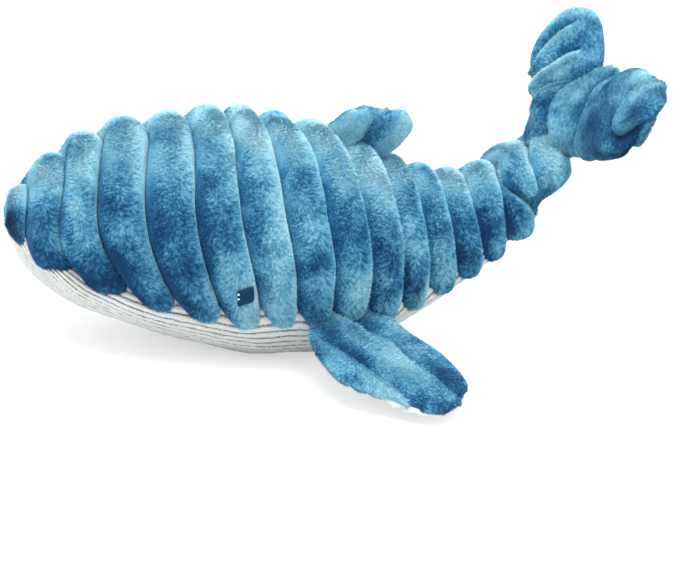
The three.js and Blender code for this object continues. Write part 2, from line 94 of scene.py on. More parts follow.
def ramp(value: Array, start: float | Array, span: float | Array) -> Array:
    """Share of a span that a value has covered, from 0 at its start to 1 at its end."""
    return np.clip((value - start) / span, 0, 1)


def packed(tone: Array) -> Array:
    """Pack a tone from -1 to 1 into a colour channel from 0 to 1."""
    return 0.5 + 0.5 * np.clip(tone, -1, 1)


def smooth_values(places: Array, values: Array, place: Array) -> Array:
    """Read a table between its stations with a smooth curve, as the frame's source does.

    Args:
        places: Stations in rising order.
        values: One value for each station.
        place: Where to read the table.

    Returns:
        The values there.
    """
    places, values, place = (np.asarray(a, float) for a in (places, values, place))
    last = len(places) - 1
    low = np.clip(np.searchsorted(places, place, side="left") - 1, 0, last - 1)
    before, after = np.maximum(np.arange(last + 1) - 1, 0), np.minimum(np.arange(last + 1) + 1, last)
    slopes = (values[after] - values[before]) / (places[after] - places[before])
    step = places[low + 1] - places[low]
    part = ramp(place, places[low], step)
    rest = 1 - part
    return (rest**2 * (values[low] * (1 + 2 * part) + step * slopes[low] * part)
            + part**2 * (values[low + 1] * (1 + 2 * rest) - step * slopes[low + 1] * rest))


def scrambled(cells: Array, salt: int) -> Array:
    """Give every cell of a grid of whole numbers its own random number.

    Args:
        cells: Whole numbers, three for each cell.
        salt: Changes the numbers.

    Returns:
        Numbers from 0 to 1, the same on every run.
    """
    x, y, z = (cells[..., axis].astype(np.int64).astype(np.uint32) for axis in range(3))
    mixed = (x * np.uint32(0x9E3779B1)) ^ (y * np.uint32(0x85EBCA6B)) ^ (z * np.uint32(0xC2B2AE35))
    mixed = mixed ^ np.uint32(salt * 747796405 % 2**32)
    for shift, factor in ((15, 0x2C1B3C6D), (12, 0x297A2D39)):
        mixed = (mixed ^ (mixed >> np.uint32(shift))) * np.uint32(factor)
    return (mixed ^ (mixed >> np.uint32(15))) / 2.0**32


def soft_noise(points: Array, size: float, salt: int) -> Array:
    """Smooth random values in space.

    Args:
        points: Places in millimetres.
        size: Distance over which the values change, in millimetres.
        salt: Changes the pattern.

    Returns:
        Values from -1 to 1.
    """
    scaled = points / size
    cell = np.floor(scaled)
    part = eased(scaled - cell)
    total = np.zeros(points.shape[:-1])
    for corner in np.ndindex(2, 2, 2):
        near = np.array(corner)
        share = np.prod(np.where(near == 1, part, 1 - part), axis=-1)
        total += share * scrambled(cell + near, salt)
    return 2 * total - 1


def nearest_tufts(points: Array, size: float, salt: int) -> tuple[Array, Array]:
    """Find the tuft that each fibre belongs to.

    Args:
        points: Roots of the fibres in millimetres.
        size: Mean distance between tufts in millimetres.
        salt: Changes the pattern.

    Returns:
        The way from each root to the middle of its tuft, and each tuft's own random number.
    """
    cell = np.floor(points / size)
    best = np.full(len(points), np.inf)
    way, own = np.zeros_like(points), np.zeros(len(points))
    for step in np.ndindex(3, 3, 3):
        other = cell + np.array(step) - 1
        centre = np.stack([other[:, axis] + scrambled(other, salt + axis) for axis in range(3)], -1) * size
        away = centre - points
        distance = (away**2).sum(1)
        closer = distance < best
        best = np.where(closer, distance, best)
        way[closer] = away[closer]
        own[closer] = scrambled(other, salt + 3)[closer]
    return way, own


def turned(vectors: Array, axes: Array, angles: Array) -> Array:
    """Turn vectors round axes that are square to them.

    Args:
        vectors: What to turn.
        axes: Unit vectors square to them.
        angles: In radians.

    Returns:
        The turned vectors.
    """
    return vectors * np.cos(angles)[:, None] + np.cross(axes, vectors) * np.sin(angles)[:, None]


# ---------------------------------------------------------------- sheets of cloth


def bake_cells(count: int, corners: tuple[tuple[float, float], ...]) -> Array:
    """Give each face a square of its own on the bake map.

    Args:
        count: Number of faces.
        corners: Places of a face's corners in its square, from 0 to 1.

    Returns:
        A place on the map for each corner of each face.
    """
    side = math.ceil(math.sqrt(count))
    number = np.arange(count)
    return np.stack([number % side, number // side], -1)[:, None] / side + np.array(corners) / side


def add_mesh(name: str, points: Array, faces: Array, bake_map: Array, values: dict[str, Array],
             smooth: bool) -> bpy.types.Mesh:
    """Make a mesh from arrays.

    Args:
        name: Name of the mesh.
        points: Corners in millimetres.
        faces: Corner numbers, one row for each face.
        bake_map: A place from 0 to 1 on the bake map for each corner of each face.
        values: Colour attributes by name, one colour for each point.
        smooth: Whether the faces are shaded as one smooth surface.

    Returns:
        The mesh, in metres.
    """
    mesh = bpy.data.meshes.new(name)
    sides = faces.shape[1]
    mesh.vertices.add(len(points))
    mesh.vertices.foreach_set("co", (points * MM).astype(np.float32).ravel())
    mesh.loops.add(faces.size)
    mesh.loops.foreach_set("vertex_index", faces.astype(np.int32).ravel())
    mesh.polygons.add(len(faces))
    mesh.polygons.foreach_set("loop_start", np.arange(0, faces.size, sides, dtype=np.int32))
    mesh.polygons.foreach_set("use_smooth", np.full(len(faces), smooth))
    mesh.update(calc_edges=True)
    layer = mesh.uv_layers.new(name="OFBake")
    layer.uv.foreach_set("vector", bake_map.astype(np.float32).ravel())
    for attribute_name, colours in values.items():
        attribute = mesh.attributes.new(attribute_name, "FLOAT_COLOR", "POINT")
        attribute.data.foreach_set("color", colours.astype(np.float32).ravel())
    return mesh


@dataclass
class Sheet:
    """A sheet of cloth as a grid of points in millimetres.

    Attributes:
        points: Rows by columns by 3.
        inner: A point inside the form for each row.
        comb: Way that the pile is brushed, for each point.
        crease: From 0 on open cloth to 1 in the bottom of a crease; the finishes darken it as painted shade.
        bare: From 0 under full pile to 1 where no pile grows; it is short between.
        tone: From -1 where the cloth is painted darker to 1 where it is painted lighter, mainly as painted
            light and shade.
        closed: Whether the last column joins the first.
    """

    points: Array
    inner: Array
    comb: Array
    crease: Array
    bare: Array
    tone: Array
    closed: bool = False

    def wrapped(self, grid: Array) -> Array:
        """Repeat the first column behind the last where the sheet is closed."""
        return np.concatenate([grid, grid[:, :1]], axis=1) if self.closed else grid

    def normals(self) -> Array:
        """Directions square to the cloth and away from the filling, for each point."""
        lengthwise = np.gradient(self.points, axis=0)
        if self.closed:
            crosswise = np.roll(self.points, -1, axis=1) - np.roll(self.points, 1, axis=1)
        else:
            crosswise = np.gradient(self.points, axis=1)
        square = unit(np.cross(lengthwise, crosswise))
        outward = unit(self.points - self.inner[:, None])
        square = square * np.sign((square * outward).sum())
        return unit(square + 0.02 * outward)

    def pushed(self, distance: Array) -> "Sheet":
        """Move the cloth outwards by a distance in millimetres."""
        self.points = self.points + self.normals() * distance[..., None]
        return self

    def mesh(self, name: str) -> bpy.types.Mesh:
        """Skin the grid.

        Args:
            name: Name of the mesh.

        Returns:
            The mesh, with its crease and pile values.
        """
        rows, columns = self.points.shape[:2]
        spans = columns if self.closed else columns - 1
        row, column = (a.ravel() for a in np.meshgrid(np.arange(rows - 1), np.arange(spans), indexing="ij"))
        steps = [(0, 0), (1, 0), (1, 1), (0, 1)]
        normal = np.cross(np.gradient(self.points, axis=0), np.gradient(self.points, axis=1))
        if (normal * (self.points - self.inner[:, None])).sum() < 0:
            steps.reverse()
        faces = np.stack([(row + r) * columns + (column + c) % columns for r, c in steps], 1)
        across = np.stack([(column + c) / spans for r, c in steps], 1)
        along = np.stack([(row + r) / (rows - 1) for r, c in steps], 1)
        # Red 0 gives the bare cloth the painted shade of the roots, green the bare tuft value, blue the
        # crease for painted crease shade, alpha the tone of painted light and shade
        colour = np.zeros((rows * columns, 4))
        colour[:, 1] = BARE_TUFT
        colour[:, 2] = self.crease.ravel()
        colour[:, 3] = packed(self.tone.ravel())
        return add_mesh(name, self.points.reshape(-1, 3), faces, np.stack([across, along], -1),
                        {"pile": colour}, True)

    def cut(self, rows: slice | Array = slice(None), columns: slice | Array = slice(None)) -> "Sheet":
        """Cut an open sheet from this one, with what belongs to its points."""
        points, comb, crease, bare, tone = (
            grid[rows][:, columns] for grid in (self.points, self.comb, self.crease, self.bare, self.tone))
        return Sheet(points, self.inner[rows], comb, crease, bare, tone)


@dataclass(frozen=True)
class Pile:
    """Fibres that grow on a sheet, drawn one by one as slim blades.

    Attributes:
        density: Fibres on each square millimetre.
        length: Mean length in millimetres.
        width: Width at the root in millimetres.
        lift: Angle from the cloth in degrees.
        tuft: Distance between tufts in millimetres.
        gather: Share of the way that tips lean to the middle of their tuft.
        swirl: How far patches of the pile turn from the brushed way, in degrees.
        swirl_size: Size of those patches in millimetres.
        scatter: How far single tufts turn, in degrees.
        stray: How far single fibres turn, in degrees.
        lifts: Least lift as a share of the mean, and how much more a fibre may have.
        pressed: Share of the lift that the pile loses in a crease.
        lengths: Least length as a share of the mean, and what the tuft and the fibre may add.
        shorn: Share of the length that is lost where the cloth is bare.
        bald: Bareness from which no fibre grows.
        twist: How far the blades are turned on their own axes, in degrees.
        sunk: Depth of the roots in the cloth in millimetres.
        parting: Share of the tuft distance at which the painted shade in the gaps between tufts is darkest.
        lights: Texture value of a tuft's middle, its loss in the gaps as painted shade, and the spread
            from tuft to tuft and from fibre to fibre.
        salt: Seed of the fibres.
    """

    density: float = 8.5
    length: float = 2.5
    width: float = 0.34
    lift: float = 30
    tuft: float = 1.45
    gather: float = 0.75
    swirl: float = 85
    swirl_size: float = 13
    scatter: float = 30
    stray: float = 14
    lifts: tuple[float, float] = (0.6, 0.8)
    pressed: float = 0.4
    lengths: tuple[float, float, float] = (0.7, 0.35, 0.25)
    shorn: float = 0.85
    bald: float = 0.99
    twist: float = 70
    sunk: float = 0.3
    parting: float = 0.62
    lights: tuple[float, float, float, float] = (0.72, 0.5, 0.16, 0.12)
    salt: int = 11

    def grow(self, name: str, sheets: tuple[Sheet, ...]) -> bpy.types.Mesh:
        """Grow the pile on some sheets.

        Args:
            name: Name of the mesh.
            sheets: The cloths that it grows on.

        Returns:
            One blade for each fibre, with its root, tip and tuft as a colour attribute.
        """
        rng = np.random.default_rng(self.salt)
        grown = [self.fibres(sheet, rng) for sheet in sheets]
        points = np.concatenate([points for points, colours in grown])
        colours = np.concatenate([colours for points, colours in grown])
        count = len(points) // 3
        faces = np.arange(count * 3).reshape(-1, 3)
        bake_map = bake_cells(count, ((0.04, 0.04), (0.96, 0.04), (0.5, 0.96)))
        return add_mesh(name, points, faces, bake_map, {"pile": colours}, False)

    def fibres(self, sheet: Sheet, rng: np.random.Generator) -> tuple[Array, Array]:
        """Place the fibres of one sheet.

        Args:
            sheet: The cloth.
            rng: Source of the random draws.

        Returns:
            Three corners for each fibre, and their colours.
        """
        grids = [sheet.wrapped(grid) for grid in
                 (sheet.points, sheet.normals(), sheet.comb, sheet.crease[..., None], sheet.tone[..., None],
                  sheet.bare[..., None])]
        places = grids[0]
        area = 0.5 * np.linalg.norm(
            np.cross(places[1:, 1:] - places[:-1, :-1], places[:-1, 1:] - places[1:, :-1]), axis=-1)
        bare = grids[5][..., 0]
        worth = area * (np.maximum(bare[1:, 1:], bare[:-1, :-1]) < self.bald)
        count = int(worth.sum() * self.density)
        reach = np.cumsum(worth.ravel())
        picks = (np.arange(count) + rng.random(count)) / count * reach[-1]
        row, column = np.divmod(np.searchsorted(reach, picks), worth.shape[1])
        row = np.minimum(row, worth.shape[0] - 1)
        down, across = rng.random((2, count, 1))
        root, normal, comb, crease, tone, bare = (
            grid[row, column] * (1 - down) * (1 - across) + grid[row + 1, column] * down * (1 - across)
            + grid[row, column + 1] * (1 - down) * across + grid[row + 1, column + 1] * down * across
            for grid in grids)
        normal = unit(normal)
        comb = unit(comb - normal * (comb * normal).sum(1, keepdims=True))
        way, own = nearest_tufts(root, self.tuft, self.salt)
        angle = (self.swirl * soft_noise(root, self.swirl_size, 21)
                 + self.scatter * (2 * own - 1) + self.stray * rng.standard_normal(count))
        comb = turned(comb, normal, np.radians(angle))
        least, more = self.lifts
        lift = np.radians(self.lift * (least + more * rng.random(count)))[:, None]
        lift = lift * (1 - self.pressed * crease)
        short = 1 - self.shorn * bare
        least, by_tuft, by_fibre = self.lengths
        length = self.length * (least + by_tuft * own[:, None] + by_fibre * rng.random((count, 1))) * short
        lean = comb * np.cos(lift) + normal * np.sin(lift)
        inward = way - normal * (way * normal).sum(1, keepdims=True)
        tip = root + lean * length + inward * self.gather * short
        lean = unit(tip - root)
        side = turned(unit(np.cross(lean, normal)), lean, np.radians(self.twist * (rng.random(count) - 0.5)))
        half = side * (self.width / 2)
        sunk = root - self.sunk * normal
        points = np.stack([sunk - half, sunk + half, tip], 1).reshape(-1, 3)
        # Red runs from 0 at the root to 1 at the tip and sets the painted shade of the roots; green is the
        # tuft value, lower in the gaps between tufts as painted shade; blue and alpha carry the crease and
        # the cloth's tone of painted light and shade
        colours = np.ones((count, 3, 4))
        colours[:, :2, 0] = 0
        gap = np.clip(np.linalg.norm(inward, axis=1) / (self.parting * self.tuft), 0, 1) ** 2
        middle, loss, by_tuft, by_fibre = self.lights
        tuft = middle - loss * gap + by_tuft * (2 * own - 1) + by_fibre * (2 * rng.random(count) - 1)
        colours[:, :, 1] = np.clip(tuft, 0, 1)[:, None]
        colours[:, :, 2] = crease
        colours[:, :, 3] = packed(tone)
        return points, colours.reshape(-1, 4)


# ---------------------------------------------------------------- finishes


def add_node(tree: bpy.types.NodeTree, kind: str, settings: dict[Any, Any] | None = None,
             links: dict[Any, bpy.types.NodeSocket] | None = None) -> bpy.types.Node:
    """Add a node with its settings and links.

    Args:
        tree: Node tree of a material or of the world.
        kind: Blender's name for the node.
        settings: Values for inputs and properties; "stops" fills a colour ramp.
        links: Output sockets of other nodes, by the input that they feed.

    Returns:
        The node.
    """
    node = tree.nodes.new(kind)
    for name, value in (settings or {}).items():
        if name == "stops":
            elements = node.color_ramp.elements
            for _ in value[2:]:
                elements.new(1)
            for element, (position, colour) in zip(elements, value):
                element.position, element.color = position, colour
        elif isinstance(name, int) or name in node.inputs:
            node.inputs[name].default_value = value
        else:
            setattr(node, name, value)
    for name, socket in (links or {}).items():
        tree.links.new(socket, node.inputs[name])
    return node


def new_material(name: str) -> tuple[bpy.types.Material, bpy.types.NodeTree]:
    """Make a material with an empty node tree."""
    material = bpy.data.materials.new(name)
    material.use_nodes = True
    material.node_tree.nodes.clear()
    return material, material.node_tree


@dataclass(frozen=True)
class PolyesterPile:
    """Dyed polyester plush: cut pile that stands 3 to 4 mm off a knitted backing.

    Light sinks between the fibres, and the colour paints it in: painted shade makes the roots and
    creases deep blue while the tips stay pale. Soft patches at random look lighter or darker, and the
    cloth's tone adds painted light and shade.
    """

    name: str = "polyester_plush_pile"
    shade: str = "#104370"
    deep: str = "#2d79a8"
    middle: str = "#6cbfe0"
    pale: str = "#a4e6f5"
    bright: str = "#c2edf8"
    # Colour that the painted shade at the roots of the fibres and in the creases mixes towards
    root: str = "#0e3c68"
    patch_size: float = 34
    streak_size: float = 9
    painted_root_light: float = 0.4
    painted_crease_light: float = 0.6
    roughness: float = 0.85
    sheen: float = 0.15
    sheen_colour: str = "#bfe4f5"
    patch_tones: tuple[float, float] = (0.24, 0.96)
    streak_tones: tuple[float, float] = (-0.09, 0.09)
    tuft_tones: tuple[float, float] = (-0.42, 0.3)
    cloth_tones: tuple[float, float] = (-0.42, 0.42)

    def material(self) -> bpy.types.Material:
        """Build the finish.

        Returns:
            A material that reads root, tip, tuft and crease from the attribute "pile".
        """
        material, tree = new_material(self.name)
        place = add_node(tree, "ShaderNodeTexCoord").outputs["Object"]
        pile = add_node(tree, "ShaderNodeAttribute", {"attribute_name": "pile"}).outputs
        part = add_node(tree, "ShaderNodeSeparateColor", links={"Color": pile["Color"]}).outputs
        patches = add_node(
            tree, "ShaderNodeTexNoise",
            {"Scale": 1 / (self.patch_size * MM), "Detail": 2.5, "Roughness": 0.55}, {"Vector": place})
        streaks = add_node(
            tree, "ShaderNodeTexNoise",
            {"Scale": 1 / (self.streak_size * MM), "Detail": 2, "Roughness": 0.6}, {"Vector": place})
        most_noise, all_values = (0.3, 0.7), (0, 1)
        # The cloth's tone adds painted light and shade, and the tuft value adds painted shade in the gaps
        # between tufts; the patches and streaks are random
        tone, fine, tuft, cloth = (
            add_node(tree, "ShaderNodeMapRange",
                     {"From Min": read[0], "From Max": read[1], "To Min": tones[0], "To Max": tones[1]},
                     {"Value": source})
            for source, read, tones in (
                (patches.outputs[0], most_noise, self.patch_tones),
                (streaks.outputs[0], most_noise, self.streak_tones),
                (part["Green"], all_values, self.tuft_tones),
                (pile["Alpha"], all_values, self.cloth_tones)))
        for change in (fine, cloth, tuft):
            tone = add_node(tree, "ShaderNodeMath", {"operation": "ADD"},
                            {0: tone.outputs[0], 1: change.outputs[0]})
        dyes = (self.shade, self.deep, self.middle, self.pale, self.bright)
        stops = [(number / 4, linear(dye)) for number, dye in enumerate(dyes)]
        dye = add_node(tree, "ShaderNodeValToRGB", {"stops": stops}, {"Fac": tone.outputs[0]})
        # Painted shade: the fibres darken from tip to root and into the creases, towards the root colour
        rise = add_node(tree, "ShaderNodeMapRange", {"To Min": self.painted_root_light, "To Max": 1.0},
                        {"Value": part["Red"]})
        painted_crease_shade = add_node(tree, "ShaderNodeMapRange", {"To Min": 1.0, "To Max": self.painted_crease_light},
                          {"Value": part["Blue"]})
        light = add_node(tree, "ShaderNodeMath", {"operation": "MULTIPLY"},
                         {0: rise.outputs[0], 1: painted_crease_shade.outputs[0]})
        colour = add_node(tree, "ShaderNodeMix", {"data_type": "RGBA", 6: linear(self.root)},
                          {0: light.outputs[0], 7: dye.outputs["Color"]})
        surface = add_node(
            tree, "ShaderNodeBsdfPrincipled",
            {"Roughness": self.roughness, "Specular IOR Level": 0.2, "Sheen Weight": self.sheen,
             "Sheen Roughness": 0.5, "Sheen Tint": linear(self.sheen_colour)},
            {"Base Color": colour.outputs[2]})
        add_node(tree, "ShaderNodeOutputMaterial", links={"Surface": surface.outputs[0]})
        return material


@dataclass(frozen=True)
class CordedCloth:
    """Brushed polyester corded cloth: soft pale cords, with painted shade in the ragged grey valleys between
    them.
    """

    name: str = "brushed_corded_cloth"
    cord: str = "#e9ece9"
    soiled: str = "#d3d7d2"
    valley_shade: str = "#646c6e"
    fuzz_size: float = 0.9
    cloud_size: float = 22
    roughness: float = 0.9

    def material(self) -> bpy.types.Material:
        """Build the finish.

        Returns:
            A material that reads the depth between cords from the attribute "pile".
        """
        material, tree = new_material(self.name)
        place = add_node(tree, "ShaderNodeTexCoord").outputs["Object"]
        pile = add_node(tree, "ShaderNodeAttribute", {"attribute_name": "pile"}).outputs["Color"]
        part = add_node(tree, "ShaderNodeSeparateColor", links={"Color": pile}).outputs
        clouds = add_node(tree, "ShaderNodeTexNoise",
                          {"Scale": 1 / (self.cloud_size * MM), "Detail": 3}, {"Vector": place})
        # The real fuzz is a tenth of a millimetre; it is drawn coarser so that it shows
        fuzz = add_node(tree, "ShaderNodeTexNoise",
                        {"Scale": 1 / (self.fuzz_size * MM), "Detail": 3, "Roughness": 0.7},
                        {"Vector": place})
        body = add_node(tree, "ShaderNodeMix", {"data_type": "RGBA", 6: linear(self.cord),
                                                7: linear(self.soiled)}, {0: clouds.outputs[0]})
        ragged = add_node(tree, "ShaderNodeMapRange",
                          {"From Min": 0.3, "From Max": 0.7, "To Min": -0.3, "To Max": 0.3},
                          {"Value": fuzz.outputs[0]})
        depth = add_node(tree, "ShaderNodeMath", {"operation": "ADD"},
                         {0: part["Blue"], 1: ragged.outputs[0]})
        # Painted shade: the valleys between the cords darken towards the valley shade colour
        dark = add_node(tree, "ShaderNodeMapRange",
                        {"From Min": 0.2, "From Max": 0.9, "interpolation_type": "SMOOTHSTEP"},
                        {"Value": depth.outputs[0]})
        colour = add_node(tree, "ShaderNodeMix", {"data_type": "RGBA", 7: linear(self.valley_shade)},
                          {0: dark.outputs[0], 6: body.outputs[2]})
        bump = add_node(tree, "ShaderNodeBump", {"Strength": 0.6, "Distance": 0.0006},
                        {"Height": fuzz.outputs[0]})
        surface = add_node(
            tree, "ShaderNodeBsdfPrincipled",
            {"Roughness": self.roughness, "Specular IOR Level": 0.2, "Sheen Weight": 0.3,
             "Sheen Roughness": 0.5},
            {"Base Color": colour.outputs[2], "Normal": bump.outputs[0]})
        add_node(tree, "ShaderNodeOutputMaterial", links={"Surface": surface.outputs[0]})
        return material


@dataclass(frozen=True)
class SatinThread:
    """Rayon embroidery thread laid in satin stitch: a low sheen that runs along the stitches."""

    name: str
    body: str
    painted_highlight: str
    twist_size: float = 0.5

    def material(self) -> bpy.types.Material:
        """Build the finish.

        Returns:
            A material with a fine twist and small changes from stitch to stitch, where the twist noise mixes
            in the painted highlight colour.
        """
        material, tree = new_material(self.name)
        place = add_node(tree, "ShaderNodeTexCoord").outputs["Object"]
        twist = add_node(tree, "ShaderNodeTexNoise",
                         {"Scale": 1 / (self.twist_size * MM), "Detail": 2}, {"Vector": place})
        # Painted highlight: the twist noise mixes a lighter copy of the thread's colour into it
        colour = add_node(tree, "ShaderNodeMix", {"data_type": "RGBA", 6: linear(self.body),
                                                  7: linear(self.painted_highlight)}, {0: twist.outputs[0]})
        bump = add_node(tree, "ShaderNodeBump", {"Strength": 0.4, "Distance": 0.0002},
                        {"Height": twist.outputs[0]})
        surface = add_node(tree, "ShaderNodeBsdfPrincipled",
                           {"Roughness": 0.5, "Specular IOR Level": 0.15},
                           {"Base Color": colour.outputs[2], "Normal": bump.outputs[0]})
        add_node(tree, "ShaderNodeOutputMaterial", links={"Surface": surface.outputs[0]})
        return material


class Finish(Enum):
    """The finishes of the toy, each with the record's slot that it belongs to."""

    PILE = ("pile_cloth", PolyesterPile())
    # The bare backing has no tip value, so it takes the painted shade of the pile's roots, here a little
    # weaker
    BACKING = ("pile_cloth", PolyesterPile(name="knitted_backing", painted_root_light=0.55, painted_crease_light=0.8))
    CORDED = ("corded_cloth", CordedCloth())
    # The second colour of each thread is a lighter copy of the first, a painted highlight
    NAVY = ("navy_thread", SatinThread("navy_satin_thread", "#092c4c", "#0e3a61"))
    WHITE = ("white_thread", SatinThread("white_satin_thread", "#e8ecee", "#ffffff"))


MATERIALS: dict[Finish, bpy.types.Material] = {}


def add_piece(name: str, mesh: bpy.types.Mesh, finish: Finish) -> bpy.types.Object:
    """Put a mesh in the scene with its finish and report it.

    Args:
        name: Name of the piece.
        mesh: Its mesh.
        finish: Its finish.

    Returns:
        The new object.
    """
    slot, look = finish.value
    if finish not in MATERIALS:
        MATERIALS[finish] = look.material()
    mesh.materials.append(MATERIALS[finish])
    piece = bpy.data.objects.new(name, mesh)
    bpy.context.scene.collection.objects.link(piece)
    LOG.info("%s: %d faces of %s", name, len(mesh.polygons), slot)
    return piece


def add_cloth(name: str, sheet: Sheet, finish: Finish = Finish.BACKING) -> bpy.types.Object:
    """Put a sheet of cloth in the scene."""
    return add_piece(name, sheet.mesh(name), finish)


def add_pile(name: str, pile: Pile, *sheets: Sheet) -> bpy.types.Object:
    """Grow pile on some sheets and put it in the scene."""
    return add_piece(name, pile.grow(name, sheets), Finish.PILE)


# ---------------------------------------------------------------- the body


@dataclass
class BodyForm:
    """The body's rings, in the frame that is square to the ribs, with the nose to -X."""

    length: float = 327
    depth: float = 133
    width: float = 124
    pitch: float = 13
    origin_x: float = -167.806
    origin_z: float = 25.146
    relief: float = 8
    full_share: float = 0.36
    nose_room: float = 0.007
    place_shares: tuple[float, ...] = (
        0, 0.012, 0.035, 0.065, 0.1, 0.15, 0.21, 0.28, 0.36, 0.44,
        0.52, 0.6, 0.66, 0.72, 0.78, 0.84, 0.89, 0.93, 0.965, 1)
    rise_shares: tuple[float, ...] = (
        0.29, 0.285, 0.266, 0.244, 0.222, 0.199, 0.174, 0.138, 0.094, 0.055,
        -0.001, -0.066, -0.092, -0.098, -0.084, -0.035, 0.03, 0.092, 0.163, 0.248)
    depth_shares: tuple[float, ...] = (
        0, 0.105, 0.185, 0.268, 0.335, 0.402, 0.46, 0.501, 0.531, 0.53,
        0.507, 0.447, 0.377, 0.315, 0.268, 0.236, 0.205, 0.175, 0.14, 0.11)
    leans: tuple[float, ...] = (
        0, 0, -2, 1, 5, 9, 9, 7, 4, 0, -4, -5, -4, -2, 0, 2, 9, 20, 34, 47)
    bow_shares: tuple[float, ...] = (
        0, 0.05, 0.16, 0.22, 0.29, 0.34, 0.32, 0.25, 0.17, 0.04,
        -0.06, -0.05, 0, 0, 0, 0.03, 0.04, 0.03, 0.01, 0)
    seam_angles: tuple[float, ...] = (
        82, 78, 74, 70, 66, 62, 59, 57, 57, 57, 57, 57, 56, 54, 51, 44, 24, 1, 1, 1)
    grooves: tuple[float, ...] = (
        -0.038, 0.038, 0.105, 0.178, 0.25, 0.318, 0.378, 0.434, 0.49, 0.552,
        0.62, 0.685, 0.742, 0.798, 0.852, 0.898, 0.942, 1)

    def table(self, values: tuple[float, ...], place: Array) -> Array:
        """Read one of the tables at places along the body."""
        return smooth_values(self.place_shares, values, place)

    def drawn_in(self, place: Array) -> Array:
        """Draw the nose in, to leave room for its pile."""
        return place + self.nose_room * np.clip(1 - place / self.grooves[1], 0, 1) ** 2

    def centre(self, place: Array, sized: Array | None = None) -> Array:
        """Middle of the ring at a place, or of a ring from elsewhere that is moved there.

        Args:
            place: Share of the body's length where the ring lies.
            sized: Share of the length where its height is read, if that is another.

        Returns:
            Points in the frame of the ribs.
        """
        rise = self.depth * self.table(self.rise_shares, place if sized is None else sized)
        return np.stack([self.length * place, np.zeros_like(rise), rise], -1)

    def up(self, place: Array) -> Array:
        """Direction of the back at a place."""
        lean = np.radians(self.table(self.leans, place))
        return np.stack([-np.sin(lean), np.zeros_like(lean), np.cos(lean)], -1)

    def half_depth(self, place: Array) -> Array:
        """Half of the ring's height at a place."""
        return self.depth * np.maximum(self.table(self.depth_shares, place), 0)

    def half_width(self, place: Array) -> Array:
        """Half of the ring's width at a place."""
        return self.half_depth(place) * self.width / self.depth

    def point(self, place: Array, angle: Array, inset: Array, sized: Array | None = None) -> Array:
        """Points of the cloth.

        Args:
            place: Shares of the body's length.
            angle: Angles from the back in radians, rising towards the left side.
            inset: Distances under the rib crests in millimetres.
            sized: Shares of the length where the ring's size is read, if those are others.

        Returns:
            Points in the frame of the ribs.
        """
        sized = place if sized is None else sized
        place, angle, inset, sized = np.broadcast_arrays(place, angle, inset, sized)
        tall = np.maximum(self.half_depth(sized) - inset, 0.3)
        wide = np.maximum(self.half_width(sized) - inset, 0.3)
        bow = self.half_width(sized) * self.table(self.bow_shares, place) * np.sin(angle) ** 2
        side = np.stack([-bow, -wide * np.sin(angle), np.zeros_like(bow)], -1)
        return self.centre(place, sized) + self.up(place) * (tall * np.cos(angle))[..., None] + side

    def relief_share(self, place: Array) -> Array:
        """Share of the full relief, which shrinks where the body is slim."""
        return np.minimum(self.half_depth(place) / (self.full_share * self.depth), 1) ** 0.75

    def row(self, points: Array) -> Array:
        """Pitch points on to the belly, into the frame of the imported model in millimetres."""
        turn = math.radians(self.pitch)
        x, y, z = points[..., 0], points[..., 1], points[..., 2]
        return np.stack([x * math.cos(turn) - z * math.sin(turn) + self.origin_x, y,
                         x * math.sin(turn) + z * math.cos(turn) + self.origin_z], -1)

    def row_way(self, ways: Array) -> Array:
        """Pitch directions on to the belly."""
        return self.row(ways) - self.row(np.zeros(3))


BODY = BodyForm()


def at_grooves(values: tuple[float, ...], place: Array) -> Array:
    """Read a table that has one value for each groove at places along the body."""
    return np.interp(place, BODY.grooves, values)


def round_drop(reach: Array, power: float) -> Array:
    """Depth under the crest of a round channel, from 0 at its middle to 1 at its edges."""
    return 1 - np.maximum(1 - np.abs(reach) ** power, 0) ** (1 / power)


def creased(drop: Array) -> Array:
    """Crease value where a seam draws a limb's cloth in by a share of its depth."""
    return ramp(drop, 0.4, 0.6) ** 1.3


def thinned(crease: Array) -> Array:
    """Bareness of a limb's pile, which grows thin in the creases."""
    return 0.85 * np.clip(3 * crease, 0, 1)


def kneaded(points: Array) -> Array:
    """Shift points a little, as a stuffed cover never lies quite evenly.

    Args:
        points: In millimetres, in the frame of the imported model.

    Returns:
        The shifted points.
    """
    broad_size, broad_depths = 31, np.array([1.1, 0.9, 0.8])
    small_size, small_depth = 13, 0.45
    broad = np.stack([soft_noise(points, broad_size, salt) for salt in (41, 42, 43)], -1)
    small = np.stack([soft_noise(points, small_size, salt) for salt in (44, 45, 46)], -1)
    return points + broad_depths * broad + small_depth * small


